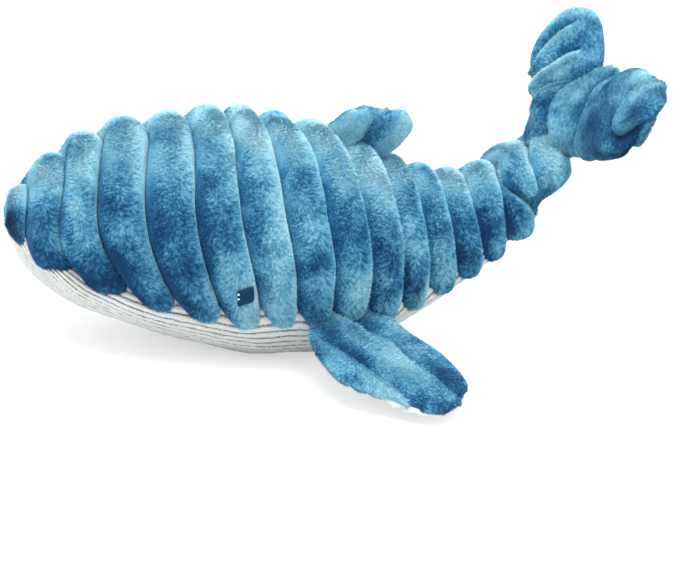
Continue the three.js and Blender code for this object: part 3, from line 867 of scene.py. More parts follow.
@dataclass
class BackCover:
    """The ribbed back cover from one groove to another: round channels with scalloped ends."""

    first: int
    last: int
    rib_steps: int = 20
    columns: int = 281
    sink: float = 1.3
    deepening: float = 1.5
    roundness: float = 2.0
    disc: float = 0.7
    overhang: float = 1.8
    tongue: float = 3.0
    notch: float = 6.5
    roll_width: float = 8
    roll_depth: float = 6
    under_place: float = 0.886
    under_span: float = 0.016
    under_roll: float = 7.5
    eye_lap: float = 0.6
    skew: float = 0.6
    # Painted light and shade of the cover: a crease value at its rolled edges, shade on the front slopes and
    # lower flanks, light on the rear rims and the back, shade on the cheeks, and a shift of the tone all over
    edge_crease: float = 0.2
    slope_shade: float = 0.25
    flank_shade: float = 0.55
    rim_light: float = 0.35
    rim_highlight: float = 0.5
    top_light: float = 0.88
    cheek_shade: float = 0.85
    base_shade: float = 0.12
    top_sweeps: tuple[float, ...] = (0, 3, 6, 7.5, 8, 8, 8, 4.5, 2.5, 1.5, 3, 4, 3.5, 4.5, 9, -3, 8, 0)
    mid_sweeps: tuple[float, ...] = (0, 0, 0, 0, 0, 0, 0, 0, 0, 0, 0, 0, 0, 0, 2, -9, -2.5, 0)
    low_sweeps: tuple[float, ...] = (
        0, 0.5, 6, 8.5, 6, 4.5, 3.8, 2, 0.8, 0, 1.5, 2.2, 3, 2.3, 2.5, 7, -12, -8)
    top_lifts: tuple[float, ...] = (
        1, 2.5, 3.5, 3, 1, 0, 0.5, -1.5, -2.5, -1.5, -1, -0.5, 0, -0.5, -1.5, -1, 0, 0)
    low_lifts: tuple[float, ...] = (0, 0, 0, 0, 0, 0, 0, 0, 0, 0, 0, 0, 0, 0, 0, 1, 11, 6)
    far_lags: tuple[float, ...] = (0, 3, 6, 6, 5, 4, 4, 3, 2, 1, 0, 0, 0, 0, 0, 0, 0, 0)
    far_dips: tuple[float, ...] = (0, 2, 4, 4.5, 3.5, 2.5, 2, 1.5, 1, 0, 0, 0, 0, 0, 0, 0, 0, 0)

    def stations(self) -> tuple[Array, Array, Array, Array]:
        """Find where the rows of cloth lie, closer together towards the grooves.

        Returns:
            For each row the share of the body's length, the way across its rib from -1 to 1, the
            share of the length where its ring's size is read, and the number of its rib.
        """
        reach = np.sin(np.linspace(-1, 1, self.rib_steps + 1) * math.pi / 2)
        rows = []
        for rib in range(self.first, self.last):
            start, end = BODY.grooves[rib], BODY.grooves[rib + 1]
            if start > 0:
                steps = reach if rib == self.last - 1 else reach[:-1]
                here = start + (end - start) * (steps + 1) / 2
                disc = self.disc * (1 - np.abs(steps) ** 5)
                sized = here + disc * ((start + end) / 2 - here)
            else:
                steps = np.linspace(0, 1, self.rib_steps + 1)[:-1] ** 1.5
                here = end * steps
                sized = end * (here / end) ** 0.7
            rows.append((here, steps, sized, np.full(len(steps), rib)))
        place, reach, sized, rib = (np.concatenate(parts)[:, None] for parts in zip(*rows))
        return place, reach, sized, rib

    def zones(self, angle: Array) -> tuple[Array, Array, Array]:
        """Shares of the back, of the lower flanks and of the far side at angles from the back."""
        return np.maximum(np.cos(angle), 0) ** 2, ramp(np.abs(angle), 1.0, 1.1), ramp(-angle, 0.1, 1.2)

    def tone(self, place: Array, angle: Array, reach: Array, thin: Array) -> Array:
        """Find where the cloth looks lighter or darker.

        Args:
            place: Shares of the body's length.
            angle: Angles from the back in radians.
            reach: Ways across the rib, from -1 to 1.
            thin: Shares by which the rib is pinched between its grooves.

        Returns:
            Tones of painted light and shade: painted light on the back and on the rear rims of the ribs,
            painted shade on their front slopes and on the cheeks.
        """
        # Painted shade on the front slope of each rib, deeper on the lower flanks; painted light on its rear
        # rim with a painted highlight line at the edge; painted light on the back; painted shade on the
        # cheeks
        lower = self.zones(angle)[1]
        slope = self.slope_shade + self.flank_shade * lower
        rims = self.rim_light * ramp(reach, 0.1, 0.6) + self.rim_highlight * ramp(reach, 0.72, 0.14)
        rims = (rims - slope * ramp(-reach, 0.25, 0.5)) * (1 - thin)
        top = self.top_light * np.clip(1.35 - np.abs(angle) / 0.85, 0, 1)
        cheek = self.cheek_shade * np.clip(1.2 - place / 0.24, 0, 1) * ramp(np.abs(angle), 0.35, 0.5)
        return rims + top - cheek - self.base_shade

    def sheet(self) -> Sheet:
        """Lay the cloth over the ribs.

        Returns:
            The cover with its comb and its creases.
        """
        place, reach, sized, rib = self.stations()
        side = np.linspace(-1, 1, self.columns)[None]
        wide = np.maximum(BODY.half_width(place), 4)
        seam = math.pi - np.radians(BODY.table(BODY.seam_angles, place))
        closing = ramp(seam, 2.2, 0.8)
        share = BODY.relief_share(place)
        shift = (self.tongue - self.notch * np.abs(reach) ** 2.4 * share) * (1 - closing)
        edge = np.minimum(seam + shift / wide, math.pi - 0.012)
        angle = side * edge
        from_edge = (1 - np.abs(side)) * edge * wide
        end = np.clip(1 - from_edge / self.roll_width, 0, 1)
        under = np.exp(-(((place - self.under_place) / self.under_span) ** 2))
        roll = self.roll_depth * (1 - 0.7 * closing) + self.under_roll * under
        roll = roll * round_drop(end, 2.2)
        crest = round_drop(reach, self.roundness) * np.ones_like(side)
        ahead, behind = np.array(BODY.grooves)[rib], np.array(BODY.grooves)[rib + 1]
        pitch = (behind - ahead) * BODY.length
        room = pitch + self.sweep(behind, angle) - self.sweep(ahead, angle)
        thin = np.clip(1 - room / (0.5 * pitch), 0, 1)
        deep = np.maximum(crest, thin)
        crest = crest * (1 - thin)
        groove = BODY.relief * self.deepening * share * deep
        upper, lower, far = self.zones(angle)
        inset = self.sink + np.hypot(groove, roll) - upper * at_grooves(self.top_lifts, place)
        inset = inset - lower * at_grooves(self.low_lifts, place)
        inset = inset + np.sin(math.pi * far) * at_grooves(self.far_dips, place)
        points = BODY.point(BODY.drawn_in(place), angle, inset, sized)
        points[..., 0] += self.sweep(place, angle)
        points[..., 0] += self.overhang * share * (1 - deep) * np.clip(place / 0.1, 0, 1)
        points = kneaded(BODY.row(points))
        inner = BODY.row(BODY.centre(place[:, 0]))
        along = np.gradient(points, axis=0)
        away = np.gradient(points, axis=1) * np.sign(side)[..., None]
        parting = np.tanh(2.4 * (reach + 0.5 * soft_noise(points, 12, 31)))
        comb = unit(along) * parting[..., None] + 0.55 * unit(away)
        crease = ramp(crest, 0.35, 0.65) ** 1.3
        edges = np.maximum(0.9 * ramp(crest, 0.06, 0.34), 0.75 * end**1.5)
        bare = np.maximum(edges, self.eye_bareness(points))
        # The rolled edge turning under takes a crease value, which the finish darkens as painted shade
        crease = np.maximum(crease, self.edge_crease * end)
        return Sheet(points, inner, comb, crease, bare, self.tone(place, angle, reach, thin))

    def sweep(self, place: Array, angle: Array) -> Array:
        """Find how far the cloth moves along the body, so that each groove leans and bends as it should.

        Args:
            place: Shares of the length of the body.
            angle: Angles from the top of the body, to the left.

        Returns:
            The distances in millimetres.
        """
        upper, lower, far = self.zones(angle)
        skew = self.skew * np.sin(np.clip(-2 * angle, -math.pi, math.pi))
        middle = np.exp(-(((np.abs(angle) - 1) / 0.6) ** 2))
        return (eased(far) * at_grooves(self.far_lags, place)
                + (upper + skew * upper) * at_grooves(self.top_sweeps, place)
                + middle * at_grooves(self.mid_sweeps, place)
                + eased(lower) * at_grooves(self.low_sweeps, place))

    def eye_bareness(self, points: Array) -> Array:
        """Keep the pile off the places where the eyes are stitched.

        Args:
            points: Points of the cloth.

        Returns:
            1 under an eye and 0 elsewhere.
        """
        bare = np.zeros(points.shape[:2])
        for side, sign in (("left", -1), ("right", 1)):
            eye = Eye(side, sign)
            middle, axes = eye.axes()
            away = np.abs((points - BODY.row(middle)) @ BODY.row_way(axes).T)
            room = np.array([eye.width / 2, eye.height / 2, 9]) - self.eye_lap
            bare = np.maximum(bare, (away < room).all(-1) * 1.0)
        return bare

    def rib_rows(self, sheet: Sheet, first: int, last: int) -> Sheet:
        """Take the rows between two grooves of a sheet.

        Args:
            sheet: The whole cover.
            first: Groove where the rows start.
            last: Groove where they end.

        Returns:
            Those rows, with both grooves.
        """
        start, end = ((groove - self.first) * self.rib_steps for groove in (first, last))
        return sheet.cut(rows=slice(start, end + 1))


@dataclass
class BellyPanel:
    """The pale corded panel under the body, between two places along it."""

    start: float
    end: float
    rows: int = 110
    columns: int = 260
    sink: float = 2.7
    tuck_width: float = 12
    tuck_depth: float = 12
    hidden_from: float = 0.906
    hidden_span: float = 0.023
    hidden_sink: float = 7
    cord_pitch: float = 5.6
    cord_relief: float = 1.6
    wanders: tuple[tuple[float, float, int], ...] = ((0.5, 9, 51), (0.25, 3, 52))
    lumps: tuple[tuple[float, float, int], ...] = ((0.3, 2.2, 53), (0.16, 1.1, 54))
    floor: float = 0.4

    def sheet(self) -> Sheet:
        """Lay the cloth under the body, with its cords at a constant distance from the keel.

        Returns:
            The panel, flat where it lies on the ground.
        """
        even = np.linspace(0, 1, self.rows) ** (1.6 if self.start == 0 else 1)
        place = (self.start + (self.end - self.start) * even)[:, None]
        side = np.linspace(-1, 1, self.columns)[None]
        wide = np.maximum(BODY.half_width(place), 3)
        seam = np.radians(BODY.table(BODY.seam_angles, place))
        keel = side * np.minimum(seam + self.tuck_width / wide, 2.9)
        beyond = np.clip((np.abs(keel) - seam) * wide / self.tuck_width, 0, 1)
        hidden = ramp(place, self.hidden_from, self.hidden_span)
        inset = self.sink + self.tuck_depth * BODY.relief_share(place) * beyond**1.5
        inset = inset + self.hidden_sink * hidden**1.5
        points = BODY.point(BODY.drawn_in(place), math.pi - keel, inset, place)
        points = kneaded(BODY.row(points))
        steps = np.linalg.norm(np.diff(points, axis=1), axis=-1)
        arc = np.concatenate([np.zeros((self.rows, 1)), np.cumsum(steps, axis=1)], axis=1)
        arc = arc - arc[:, -1:] / 2
        wander = sum(amount * soft_noise(points, size, salt) for amount, size, salt in self.wanders)
        wave = np.abs(np.sin(math.pi * (arc + wander) / self.cord_pitch))
        height = self.cord_relief * (wave**0.5 - 0.8)
        for amount, size, salt in self.lumps:
            height = height + amount * soft_noise(points, size, salt)
        inner = BODY.row(BODY.centre(place[:, 0]))
        blank = np.zeros(points.shape[:2])
        # Depth between the cords, which the corded finish turns into painted shade
        depth = np.clip(1 - 1.25 * wave, 0, 1)
        sheet = Sheet(points, inner, np.gradient(points, axis=0), depth, blank, blank).pushed(height)
        sheet.points[..., 2] = np.maximum(sheet.points[..., 2], self.floor)
        return sheet


@dataclass
class FlukeRoot:
    """The flat wedge that ends the tail stock and carries both lobes."""

    pitch: float = 47
    yaw: float = -9
    length: float = 44
    width: float = 56
    depth: float = 24
    rows: int = 60
    columns: int = 120
    sink: float = 1.4
    places: tuple[float, ...] = (-0.3, -0.1, 0.08, 0.3, 0.55, 0.8, 1)
    width_shares: tuple[float, ...] = (0.24, 0.36, 0.5, 0.43, 0.3, 0.17, 0.1)
    depth_shares: tuple[float, ...] = (0.42, 0.5, 0.5, 0.48, 0.44, 0.38, 0.3)
    reach: float = 1.12
    round_from: float = 0.9
    round_span: float = 0.22
    fold_places: tuple[float, ...] = (-0.3, -0.05, 0, 0.1, 0.2, 0.3, 0.5, 0.75, 1.12)
    fold_angles: tuple[float, ...] = (135, 114, 102, 88, 77, 65, 48, 34, 20)
    fold_rim: float = 4
    fold_flank: float = 12
    fold_depth: float = 7
    # Width of the painted highlight along the fold, and of the lip that raises the cloth there
    fold_glow: float = 9
    fold_lip: float = 2
    swell: float = 9

    def sheet(self) -> Sheet:
        """Lay the cloth round the wedge.

        Returns:
            A closed sheet from inside the stock to the notch.
        """
        place = np.linspace(self.places[0], self.reach, self.rows)[:, None]
        angle = np.linspace(0, 2 * math.pi, self.columns, endpoint=False)[None]
        over = ramp(place, self.round_from, self.round_span)
        close = np.sqrt(np.maximum(1 - over**2, 0.0004))
        read = np.minimum(place, 1)
        across = (self.width * smooth_values(self.places, self.width_shares, read) - self.sink) * close
        high = (self.depth * smooth_values(self.places, self.depth_shares, read) - self.sink) * close
        turn = rotation(1, -self.pitch) @ rotation(2, self.yaw)
        local = np.stack(np.broadcast_arrays(
            self.length * place, across * np.cos(angle), high * np.sin(angle)), -1)
        stock_end = BODY.centre(np.array(1.0))
        points = kneaded(BODY.row(local @ turn.T + stock_end))
        middle = np.stack([self.length * place[:, 0], 0 * place[:, 0], 0 * place[:, 0]], -1)
        inner = BODY.row(middle @ turn.T + stock_end)
        fold = np.radians(np.interp(place, self.fold_places, self.fold_angles))
        past = (angle - fold) * across
        away = np.minimum(np.where(past > 0, past / self.fold_rim, -past / self.fold_flank), 1)
        drop = round_drop(1 - away, 2.0) * (angle < math.pi)
        crease = creased(drop)
        bare = thinned(crease)
        # Painted highlight along the crisp edge of the fold, painted shadow under the far lobe, and painted
        # shade on the flank next to the fold, turning lighter farther from it
        rims = 0.9 * np.clip(1 - past / self.fold_glow, 0, 1) ** 1.5
        lip = self.fold_lip * np.sin(math.pi * np.clip(past / self.fold_glow, 0, 1)) ** 2
        lobe_shadow = np.exp(-(((angle - 2.5) / 0.35) ** 2)) * np.clip(place * 4, 0, 1)
        shade = 0.8 * (1 - away) ** 1.6 - 0.7 * np.clip(-past / self.fold_flank - 0.5, 0, 1)
        tone = 0.1 + np.where(past > 0, rims - 0.9 * lobe_shadow, -shade) * (angle < math.pi)
        raised = self.swell * np.exp(-(((angle - fold + 0.45) / 0.5) ** 2)) * np.clip(1.2 - place, 0, 1)
        return Sheet(points, inner, np.gradient(points, axis=0), crease, bare, tone,
                     True).pushed(raised + lip * (angle < math.pi) - self.fold_depth * drop)


def rotation(axis: int, degrees: float) -> Array:
    """Matrix of a turn round X, Y or Z.

    Args:
        axis: 0, 1 or 2.
        degrees: Angle of the turn.

    Returns:
        A 3 by 3 matrix.
    """
    cos, sin = math.cos(math.radians(degrees)), math.sin(math.radians(degrees))
    first, second = ((1, 2), (2, 0), (0, 1))[axis]
    matrix = np.eye(3)
    matrix[first, first] = matrix[second, second] = cos
    matrix[first, second], matrix[second, first] = -sin, sin
    return matrix


# ---------------------------------------------------------------- fins and lobes


@dataclass(frozen=True)
class Seam:
    """A sewn line on a filled limb, where one rib laps over the next.

    The path is in the frame of the limb, in millimetres, with heights above its middle plane. The
    rib to the left of the path, as seen from above, ends there in a crisp edge, painted with a
    highlight along it; the other rib is painted with shade where it rises from the seam.
    """

    path: tuple[tuple[float, float, float], ...]
    depth: float = 6
    rim: float = 3.2
    flank: float = 11
    lip: float = 1.6
    glow: float = 8
    light: float = 0.9
    shadow: float = 0.95
    rise: tuple[float, float] = (0.1, 0.1)

    def draw_in(self, points: Array, normals: Array) -> tuple[Array, Array, Array]:
        """Find what the seam does to the cloth round it.

        Args:
            points: Points of the limb in its frame.
            normals: Outward directions at those points.

        Returns:
            How far the cloth is drawn in, its crease value and its tone of painted light and shade.
        """
        nearest = np.full(points.shape[:-1], 1e3)
        lapping = np.zeros(points.shape[:-1], bool)
        along = np.zeros(points.shape[:-1])
        before = 0.0
        for start, end in zip(self.path, self.path[1:]):
            step = np.subtract(end, start)
            length = float(np.linalg.norm(step))
            share = np.clip((points - start) @ step / length**2, 0, 1)
            off = points - start - share[..., None] * step
            gap = np.linalg.norm(off, axis=-1)
            left = (np.cross(step, off) * normals).sum(-1) > 0
            closer = gap < nearest
            lapping = np.where(closer, left, lapping)
            along = np.where(closer, before + share * length, along)
            nearest = np.where(closer, gap, nearest)
            before += length
        rise = np.clip(along / self.rise[0], 0, 1) * np.clip((before - along) / self.rise[1], 0, 1)
        rise = eased(rise)
        away = np.minimum(nearest / np.where(lapping, self.rim, self.flank), 1)
        drop = round_drop(1 - away, 2.0)
        crease = creased(drop) * rise
        # Painted highlight on the lapping rib within the glow width of the seam, painted shadow on the other
        # rib's flank
        close = np.clip(1 - nearest / self.glow, 0, 1)
        tone = np.where(lapping, self.light * close**1.5, -self.shadow * (1 - away) ** 0.7) * rise
        lip = self.lip * lapping * np.sin(math.pi * close) ** 2
        return (self.depth * drop - lip) * rise, crease, tone * (1 - crease)


@dataclass
class Fin:
    """A flat filled limb with its hinge line in the seam at its root.

    X runs along the hinge line, Y outwards and Z to one face, in millimetres.
    """

    name: str
    parent: str
    hinge: tuple[float, float, float]
    along: tuple[float, float, float]
    outward: tuple[float, float, float]
    nodes: tuple[str, ...]
    top_sign: int
    span: float
    chord: float
    depth: float
    places: tuple[float, ...]
    front: tuple[float, ...]
    rear: tuple[float, ...]
    full: tuple[float, ...]
    root: float = 6
    rows: int = 110
    columns: int = 200
    sink: float = 1.2
    blend_start: float = 2
    blend_end: float = 17
    tip_round: float = 9
    seams: tuple[Seam, ...] = ()
    paleness: float = 0.1
    paler_along: float = 0
    paler_outwards: float = 0
    row_power: float = 0.92
    edge_power: float = 0.88
    face_power: float = 0.84
    comb_fan: float = 0.035
    flat_back: float = 0
    flat_start: float = 0.55
    both_faces: bool = True
    pile: Pile = Pile(length=1.9, lift=27, tuft=1.5, gather=0.45, salt=61)

    def frame_axes(self) -> Array:
        """Axes of the fin as the rows of a matrix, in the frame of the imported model."""
        along, outward = np.array(self.along), np.array(self.outward)
        return np.stack([along, outward, np.cross(along, outward)])

    def to_model(self, local: Array) -> Array:
        """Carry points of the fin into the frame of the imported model."""
        return local @ self.frame_axes() + np.array(self.hinge) / MM

    def outline(self, place: Array) -> tuple[Array, Array, Array]:
        """Front edge, rear edge and half thickness of the filled fin.

        Args:
            place: Distances outwards in millimetres.

        Returns:
            The three distances in millimetres, drawn in for the pile.
        """
        share = np.clip(place / self.span, 0, 1)
        front = self.chord * smooth_values(self.places, self.front, share) + self.sink
        rear = self.chord * smooth_values(self.places, self.rear, share) - self.sink
        full = self.depth / 2 * smooth_values(self.places, self.full, share) - self.sink * 0.5
        over = np.clip((place - self.span + self.tip_round) / self.tip_round, 0, 1)
        close = np.maximum(1 - over**2.4, 0.0002) ** (1 / 2.4)
        middle, half = (front + rear) / 2, (rear - front) / 2
        return middle - half * close, middle + half * close, full * np.sqrt(close)

    def sheet(self) -> Sheet:
        """Lay the cloth round the filling.

        Returns:
            A closed sheet from inside the body to the tip, with the fin's sewn channels.
        """
        even = np.linspace(0, 1, self.rows)
        run = np.sin(even * math.pi / 2) ** self.row_power
        place = (-self.root + (self.span + self.root) * run)[:, None]
        angle = np.linspace(0, 2 * math.pi, self.columns, endpoint=False)[None]
        front, rear, full = self.outline(place)
        cos, sin = np.cos(angle), np.sin(angle)
        reach = -np.sign(cos) * np.abs(cos) ** self.edge_power
        height = np.sign(sin) * np.abs(sin) ** self.face_power * full
        late = ramp(place / self.span, self.flat_start, 0.3)
        height = height * (1 - self.flat_back * eased(late) * (height * self.top_sign < 0))
        local = np.stack(np.broadcast_arrays(
            (front + rear) / 2 + (rear - front) / 2 * reach, place, height), -1)
        points = kneaded(self.to_model(local))
        middle = np.stack([(front + rear)[:, 0] / 2, place[:, 0] - 2, 0 * place[:, 0]], -1)
        inner = self.to_model(middle)
        fan = local - middle[:, None]
        fan = np.stack([self.comb_fan * fan[..., 0], np.ones_like(fan[..., 1]), 0 * fan[..., 2]], -1)
        comb = fan @ self.frame_axes()
        blank = np.zeros(points.shape[:2])
        plain = Sheet(points, inner, comb, blank, blank, blank, True)
        facing = plain.normals() @ self.frame_axes().T
        face = np.where(local[..., 2] < 0, -1, 1) if self.both_faces else self.top_sign + 0 * blank
        upright = np.stack([0 * face + 1, 0 * face + 1, face], -1)
        drop, crease, tone = self.draw_in(local * upright, facing * upright)
        return Sheet(points, inner, comb, crease, thinned(crease), tone, True).pushed(-drop)

    def draw_in(self, points: Array, normals: Array) -> tuple[Array, Array, Array]:
        """Draw the cloth in along the seams.

        Args:
            points: Points in the frame of the fin, with heights above the face they are on.
            normals: Outward directions there.

        Returns:
            How far the cloth is drawn in, its crease value and its tone.
        """
        drop, crease, tone = (np.zeros(points.shape[:-1]) for _ in range(3))
        for seam in self.seams:
            fields = seam.draw_in(points, normals)
            drop = np.where(np.abs(fields[0]) > np.abs(drop), fields[0], drop)
            crease, tone = np.maximum(crease, fields[1]), tone + fields[2]
        pale = self.paler_along * points[..., 0] + self.paler_outwards * points[..., 1]
        return drop, crease, np.clip(self.paleness + pale / self.chord + tone, -0.9, 0.9)

    def settle(self, piece: bpy.types.Object) -> None:
        """Bake the piece's placement into its mesh."""
        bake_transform(piece)

    def build(self) -> None:
        """Make the cover and its pile."""
        sheet = self.sheet()
        cover = add_cloth(f"{self.name}_cover", sheet)
        self.settle(cover)
        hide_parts(*self.nodes)
        self.settle(add_pile(f"{self.name}_pile", self.pile, sheet))


@dataclass
class PectoralFin(Fin):
    """A pectoral fin: three lengthwise ribs of pile cloth over a pale corded panel."""

    both_faces: bool = False
    cord_pitch: float = 7
    cord_relief: float = 1.1
    lining_swell: float = 1.8
    lining_sink: float = 0.35
    lining_start: float = 61

    def draw_in(self, points: Array, normals: Array) -> tuple[Array, Array, Array]:
        """Draw the top in along its seams, and raise cords under it.

        Args:
            points: Points in the frame of the fin, with heights above its middle plane.
            normals: Outward directions there.

        Returns:
            How far the cloth is drawn in, its crease value and its tone.
        """
        drop, crease, tone = super().draw_in(points, normals)
        top = points[..., 2] > 0
        # Under the fin, the depth between the cords becomes the crease value, which the corded finish turns
        # into painted shade
        wave = np.abs(np.sin(math.pi * points[..., 0] / self.cord_pitch))
        cords = self.cord_relief * (1 - wave**0.5)
        return np.where(top, drop, cords), np.where(top, crease, np.clip(1 - 1.6 * wave, 0, 1)), tone * top

    def build(self) -> None:
        """Make the top cover with its pile, and the corded panel under it."""
        whole = self.sheet()
        columns = self.columns
        half = columns // 2
        shift = 0 if self.top_sign > 0 else half
        lap = columns // 16
        order = (np.arange(-lap, half + lap + 1) + shift) % columns
        under_order = (np.arange(half - lap // 2, columns + lap // 2 + 1) + shift) % columns
        top, under = whole.cut(columns=order), whole.cut(columns=under_order)
        shown = self.lining_shown(whole)
        under.pushed(self.lining_swell * shown[:, under_order] - self.lining_sink)
        under.crease = under.crease * (1 - 0.9 * shown[:, under_order])
        top.bare = np.maximum(top.bare, np.clip(3 * shown[:, order], 0, 1))
        cover = add_cloth(f"{self.name}_cover", top)
        lining = add_cloth(f"{self.name}_lining", under, Finish.CORDED)
        pile = add_pile(f"{self.name}_pile", self.pile, top)
        for piece in (cover, lining, pile):
            self.settle(piece)
        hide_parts(f"{self.name}_top_panel", f"{self.name}_filling")
        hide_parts(f"{self.name}_under_panel")

    def lining_shown(self, whole: Sheet) -> Array:
        """Find where the panel under the fin shows, which is along its front edge near the tip.

        Args:
            whole: The sheet round the whole fin.

        Returns:
            1 where it swells out past the top cover, and 0 elsewhere.
        """
        outwards = ((whole.points - np.array(self.hinge) / MM) @ self.frame_axes().T)[..., 1]
        late = ramp(outwards, self.lining_start, 8)
        angle = 2 * math.pi * np.arange(self.columns) / self.columns
        front = ramp(np.cos(angle), 0.5, 0.3)
        under = np.clip(0.5 - 4 * np.sin(angle) * self.top_sign, 0, 1)
        return eased(late) * front * under


PECTORAL_SEAMS = (
    Seam(((-31.4, 12.1, 1.4), (-29.9, 22.7, 4.3), (-26.2, 31, 5.8), (-19.7, 46.3, 6.7), (-15.5, 54.3, 5.6),
          (-10.8, 60.8, 3.9), (-4.4, 67.8, 0.5), (2, 75, -2)), depth=5.5, flank=12, glow=5, rise=(12, 0.1)),
    Seam(((-17, -8, 2.6), (-10.9, -2.6, 2.6), (-5.8, 8.1, 3.9), (-3.2, 21.4, 6.9), (1.3, 27.7, 7.7),
          (5.5, 33.1, 8.1), (7.4, 44, 8.1), (12.3, 52.4, 7.6), (17.6, 59.5, 6.7), (22, 68.1, 5.2),
          (28, 73, 2), (34, 80, 0)), depth=7.5, rim=3.2, flank=13, glow=5),
)
DORSAL_SEAMS = (
    Seam(((1, -3.2, 4.2), (1.2, 5.3, 5.3), (1.3, 13.5, 7), (2.5, 22.3, 5.5), (6.5, 27, 2.5), (8, 33, 0)),
         depth=5, rim=4, flank=11),
)
NEAR_LOBE_SEAMS = (
    Seam(((-28, 3, 0), (-23.1, 3.2, 3.1), (-16, 4.1, 7.5), (-6.4, 2.2, 8.5), (2, 0.8, 8.4),
          (16.9, -2.7, 5.6), (24, -3, 2)), depth=5, rim=3.5, flank=9, glow=11),
    Seam(((-8.9, 60.7, 0), (-12.9, 57.1, 2.5), (-16.9, 53.5, 4.5), (-19.6, 49.5, 6.2), (-19.8, 44.5, 7.3),
          (-18, 41, 8.2), (-12.5, 40.4, 9.3), (-6.3, 42.1, 9.9), (0.8, 44.4, 10.2), (7.6, 46.7, 9.5),
          (13, 51.4, 7.1), (16.5, 54, 3.5), (20, 58, 0)), depth=7, rim=3.4, flank=10, light=0.75),
)
FAR_LOBE_SEAMS = (
    Seam(((26, 0, 3), (4.5, 1.5, 5.5), (-14.7, 3.7, 4.5), (-28, 4, 1)), depth=2.5, rim=3, flank=10),
    Seam(((19.2, 17.6, 7.8), (17, 18.8, 9), (10.4, 20.6, 11), (-3.8, 20.8, 11.4), (-21, 22.2, 7.5),
          (-30, 22.5, 1)), depth=6, flank=12, rise=(7, 5)),
    Seam(((20.4, 41, 8.6), (14.3, 39.2, 10.7), (6.1, 38.6, 11.6), (-10.3, 34.4, 10.3), (-14.6, 31.4, 9.5),
          (-28, 27, 1)), depth=6, flank=11, rise=(9, 5)),
)
PECTORAL_PLAN: dict[str, Any] = {
    "span": 80, "chord": 58, "depth": 18,
    "places": (0, 0.06, 0.14, 0.25, 0.4, 0.56, 0.69, 0.8, 0.885, 1),
    "front": (-0.46, -0.49, -0.56, -0.61, -0.63, -0.59, -0.47, -0.28, -0.13, 0.08),
    "rear": (0.42, 0.42, 0.43, 0.46, 0.57, 0.68, 0.72, 0.69, 0.56, 0.4),
    "full": (0.42, 0.5, 0.68, 0.88, 1, 0.99, 0.92, 0.8, 0.62, 0.3),
}
DORSAL_PLAN: dict[str, Any] = {
    "span": 31, "chord": 50, "depth": 17,
    "places": (0, 0.16, 0.3, 0.46, 0.6, 0.7, 0.78, 0.88, 1),
    "front": (-0.42, -0.38, -0.33, -0.28, -0.21, -0.1, 0.06, 0.16, 0.28),
    "rear": (0.39, 0.44, 0.5, 0.54, 0.56, 0.57, 0.57, 0.56, 0.5),
    "full": (0.6, 0.75, 0.9, 1, 1, 0.97, 0.9, 0.8, 0.5),
}
NEAR_LOBE_PLAN: dict[str, Any] = {
    "span": 67, "chord": 48, "depth": 24,
    "places": (0, 0.1, 0.21, 0.325, 0.47, 0.62, 0.735, 0.81, 0.91, 1),
    "front": (-0.53, -0.56, -0.58, -0.6, -0.6, -0.58, -0.53, -0.4, -0.2, -0.05),
    "rear": (0.44, 0.5, 0.56, 0.61, 0.59, 0.5, 0.42, 0.37, 0.29, 0.18),
    "full": (0.74, 0.84, 0.94, 1, 1, 0.95, 0.86, 0.76, 0.6, 0.4),
}
FAR_LOBE_PLAN: dict[str, Any] = {
    "span": 60, "chord": 48, "depth": 24,
    "places": (0, 0.1, 0.2, 0.33, 0.5, 0.667, 0.83, 0.94, 1),
    "front": (-0.52, -0.54, -0.56, -0.56, -0.54, -0.48, -0.34, -0.17, 0),
    "rear": (0.44, 0.47, 0.51, 0.55, 0.58, 0.59, 0.54, 0.43, 0.28),
    "full": (0.42, 0.56, 0.78, 0.98, 1, 0.95, 0.82, 0.6, 0.36),
}


def fins() -> list[Fin]:
    """List the fins and lobes with their hinge frames.

    Returns:
        Dorsal fin, two pectoral fins and two lobes.
    """
    made: list[Fin] = [Fin(
        "dorsal_fin", "trunk", (0.01342, 0, 0.11575), (0.93386, 0, -0.35765), (0.35765, 0, 0.93386),
        ("dorsal_fin_left_panel", "dorsal_fin_right_panel", "dorsal_fin_filling"), 1,
        **DORSAL_PLAN, columns=160, rows=70, blend_end=12, tip_round=8, seams=DORSAL_SEAMS,
        paleness=0.5)]
    for side, sign in (("left", -1), ("right", 1)):
        made.append(PectoralFin(
            f"pectoral_{side}", "trunk", (0.00785, sign * 0.04793, 0.03452),
            (0.9821, -sign * 0.18408, 0.04002), (0.18645, sign * 0.91953, -0.34597), (), sign,
            **PECTORAL_PLAN, seams=PECTORAL_SEAMS, paler_outwards=-0.3))
    made.append(Fin(
        "fluke_left", "tail", (0.15227, -0.0201, 0.14622), (0.47257, 0.32664, 0.81852),
        (0.01046, -0.93079, 0.36541),
        ("fluke_left_front_panel", "fluke_left_back_panel", "fluke_left_filling"), -1,
        **NEAR_LOBE_PLAN, tip_round=16, seams=NEAR_LOBE_SEAMS,
        paleness=0.35, paler_along=0.6, paler_outwards=-0.3, flat_back=0.65))
    made.append(Fin(
        "fluke_right", "tail", (0.15494, 0.01363, 0.15085), (0.39898, -0.60272, 0.69105),
        (0.1464, 0.78583, 0.60087),
        ("fluke_right_front_panel", "fluke_right_back_panel", "fluke_right_filling"), 1,
        **FAR_LOBE_PLAN, tip_round=16, seams=FAR_LOBE_SEAMS,
        paleness=-0.05, paler_outwards=0.6))
    return made


# ---------------------------------------------------------------- eyes


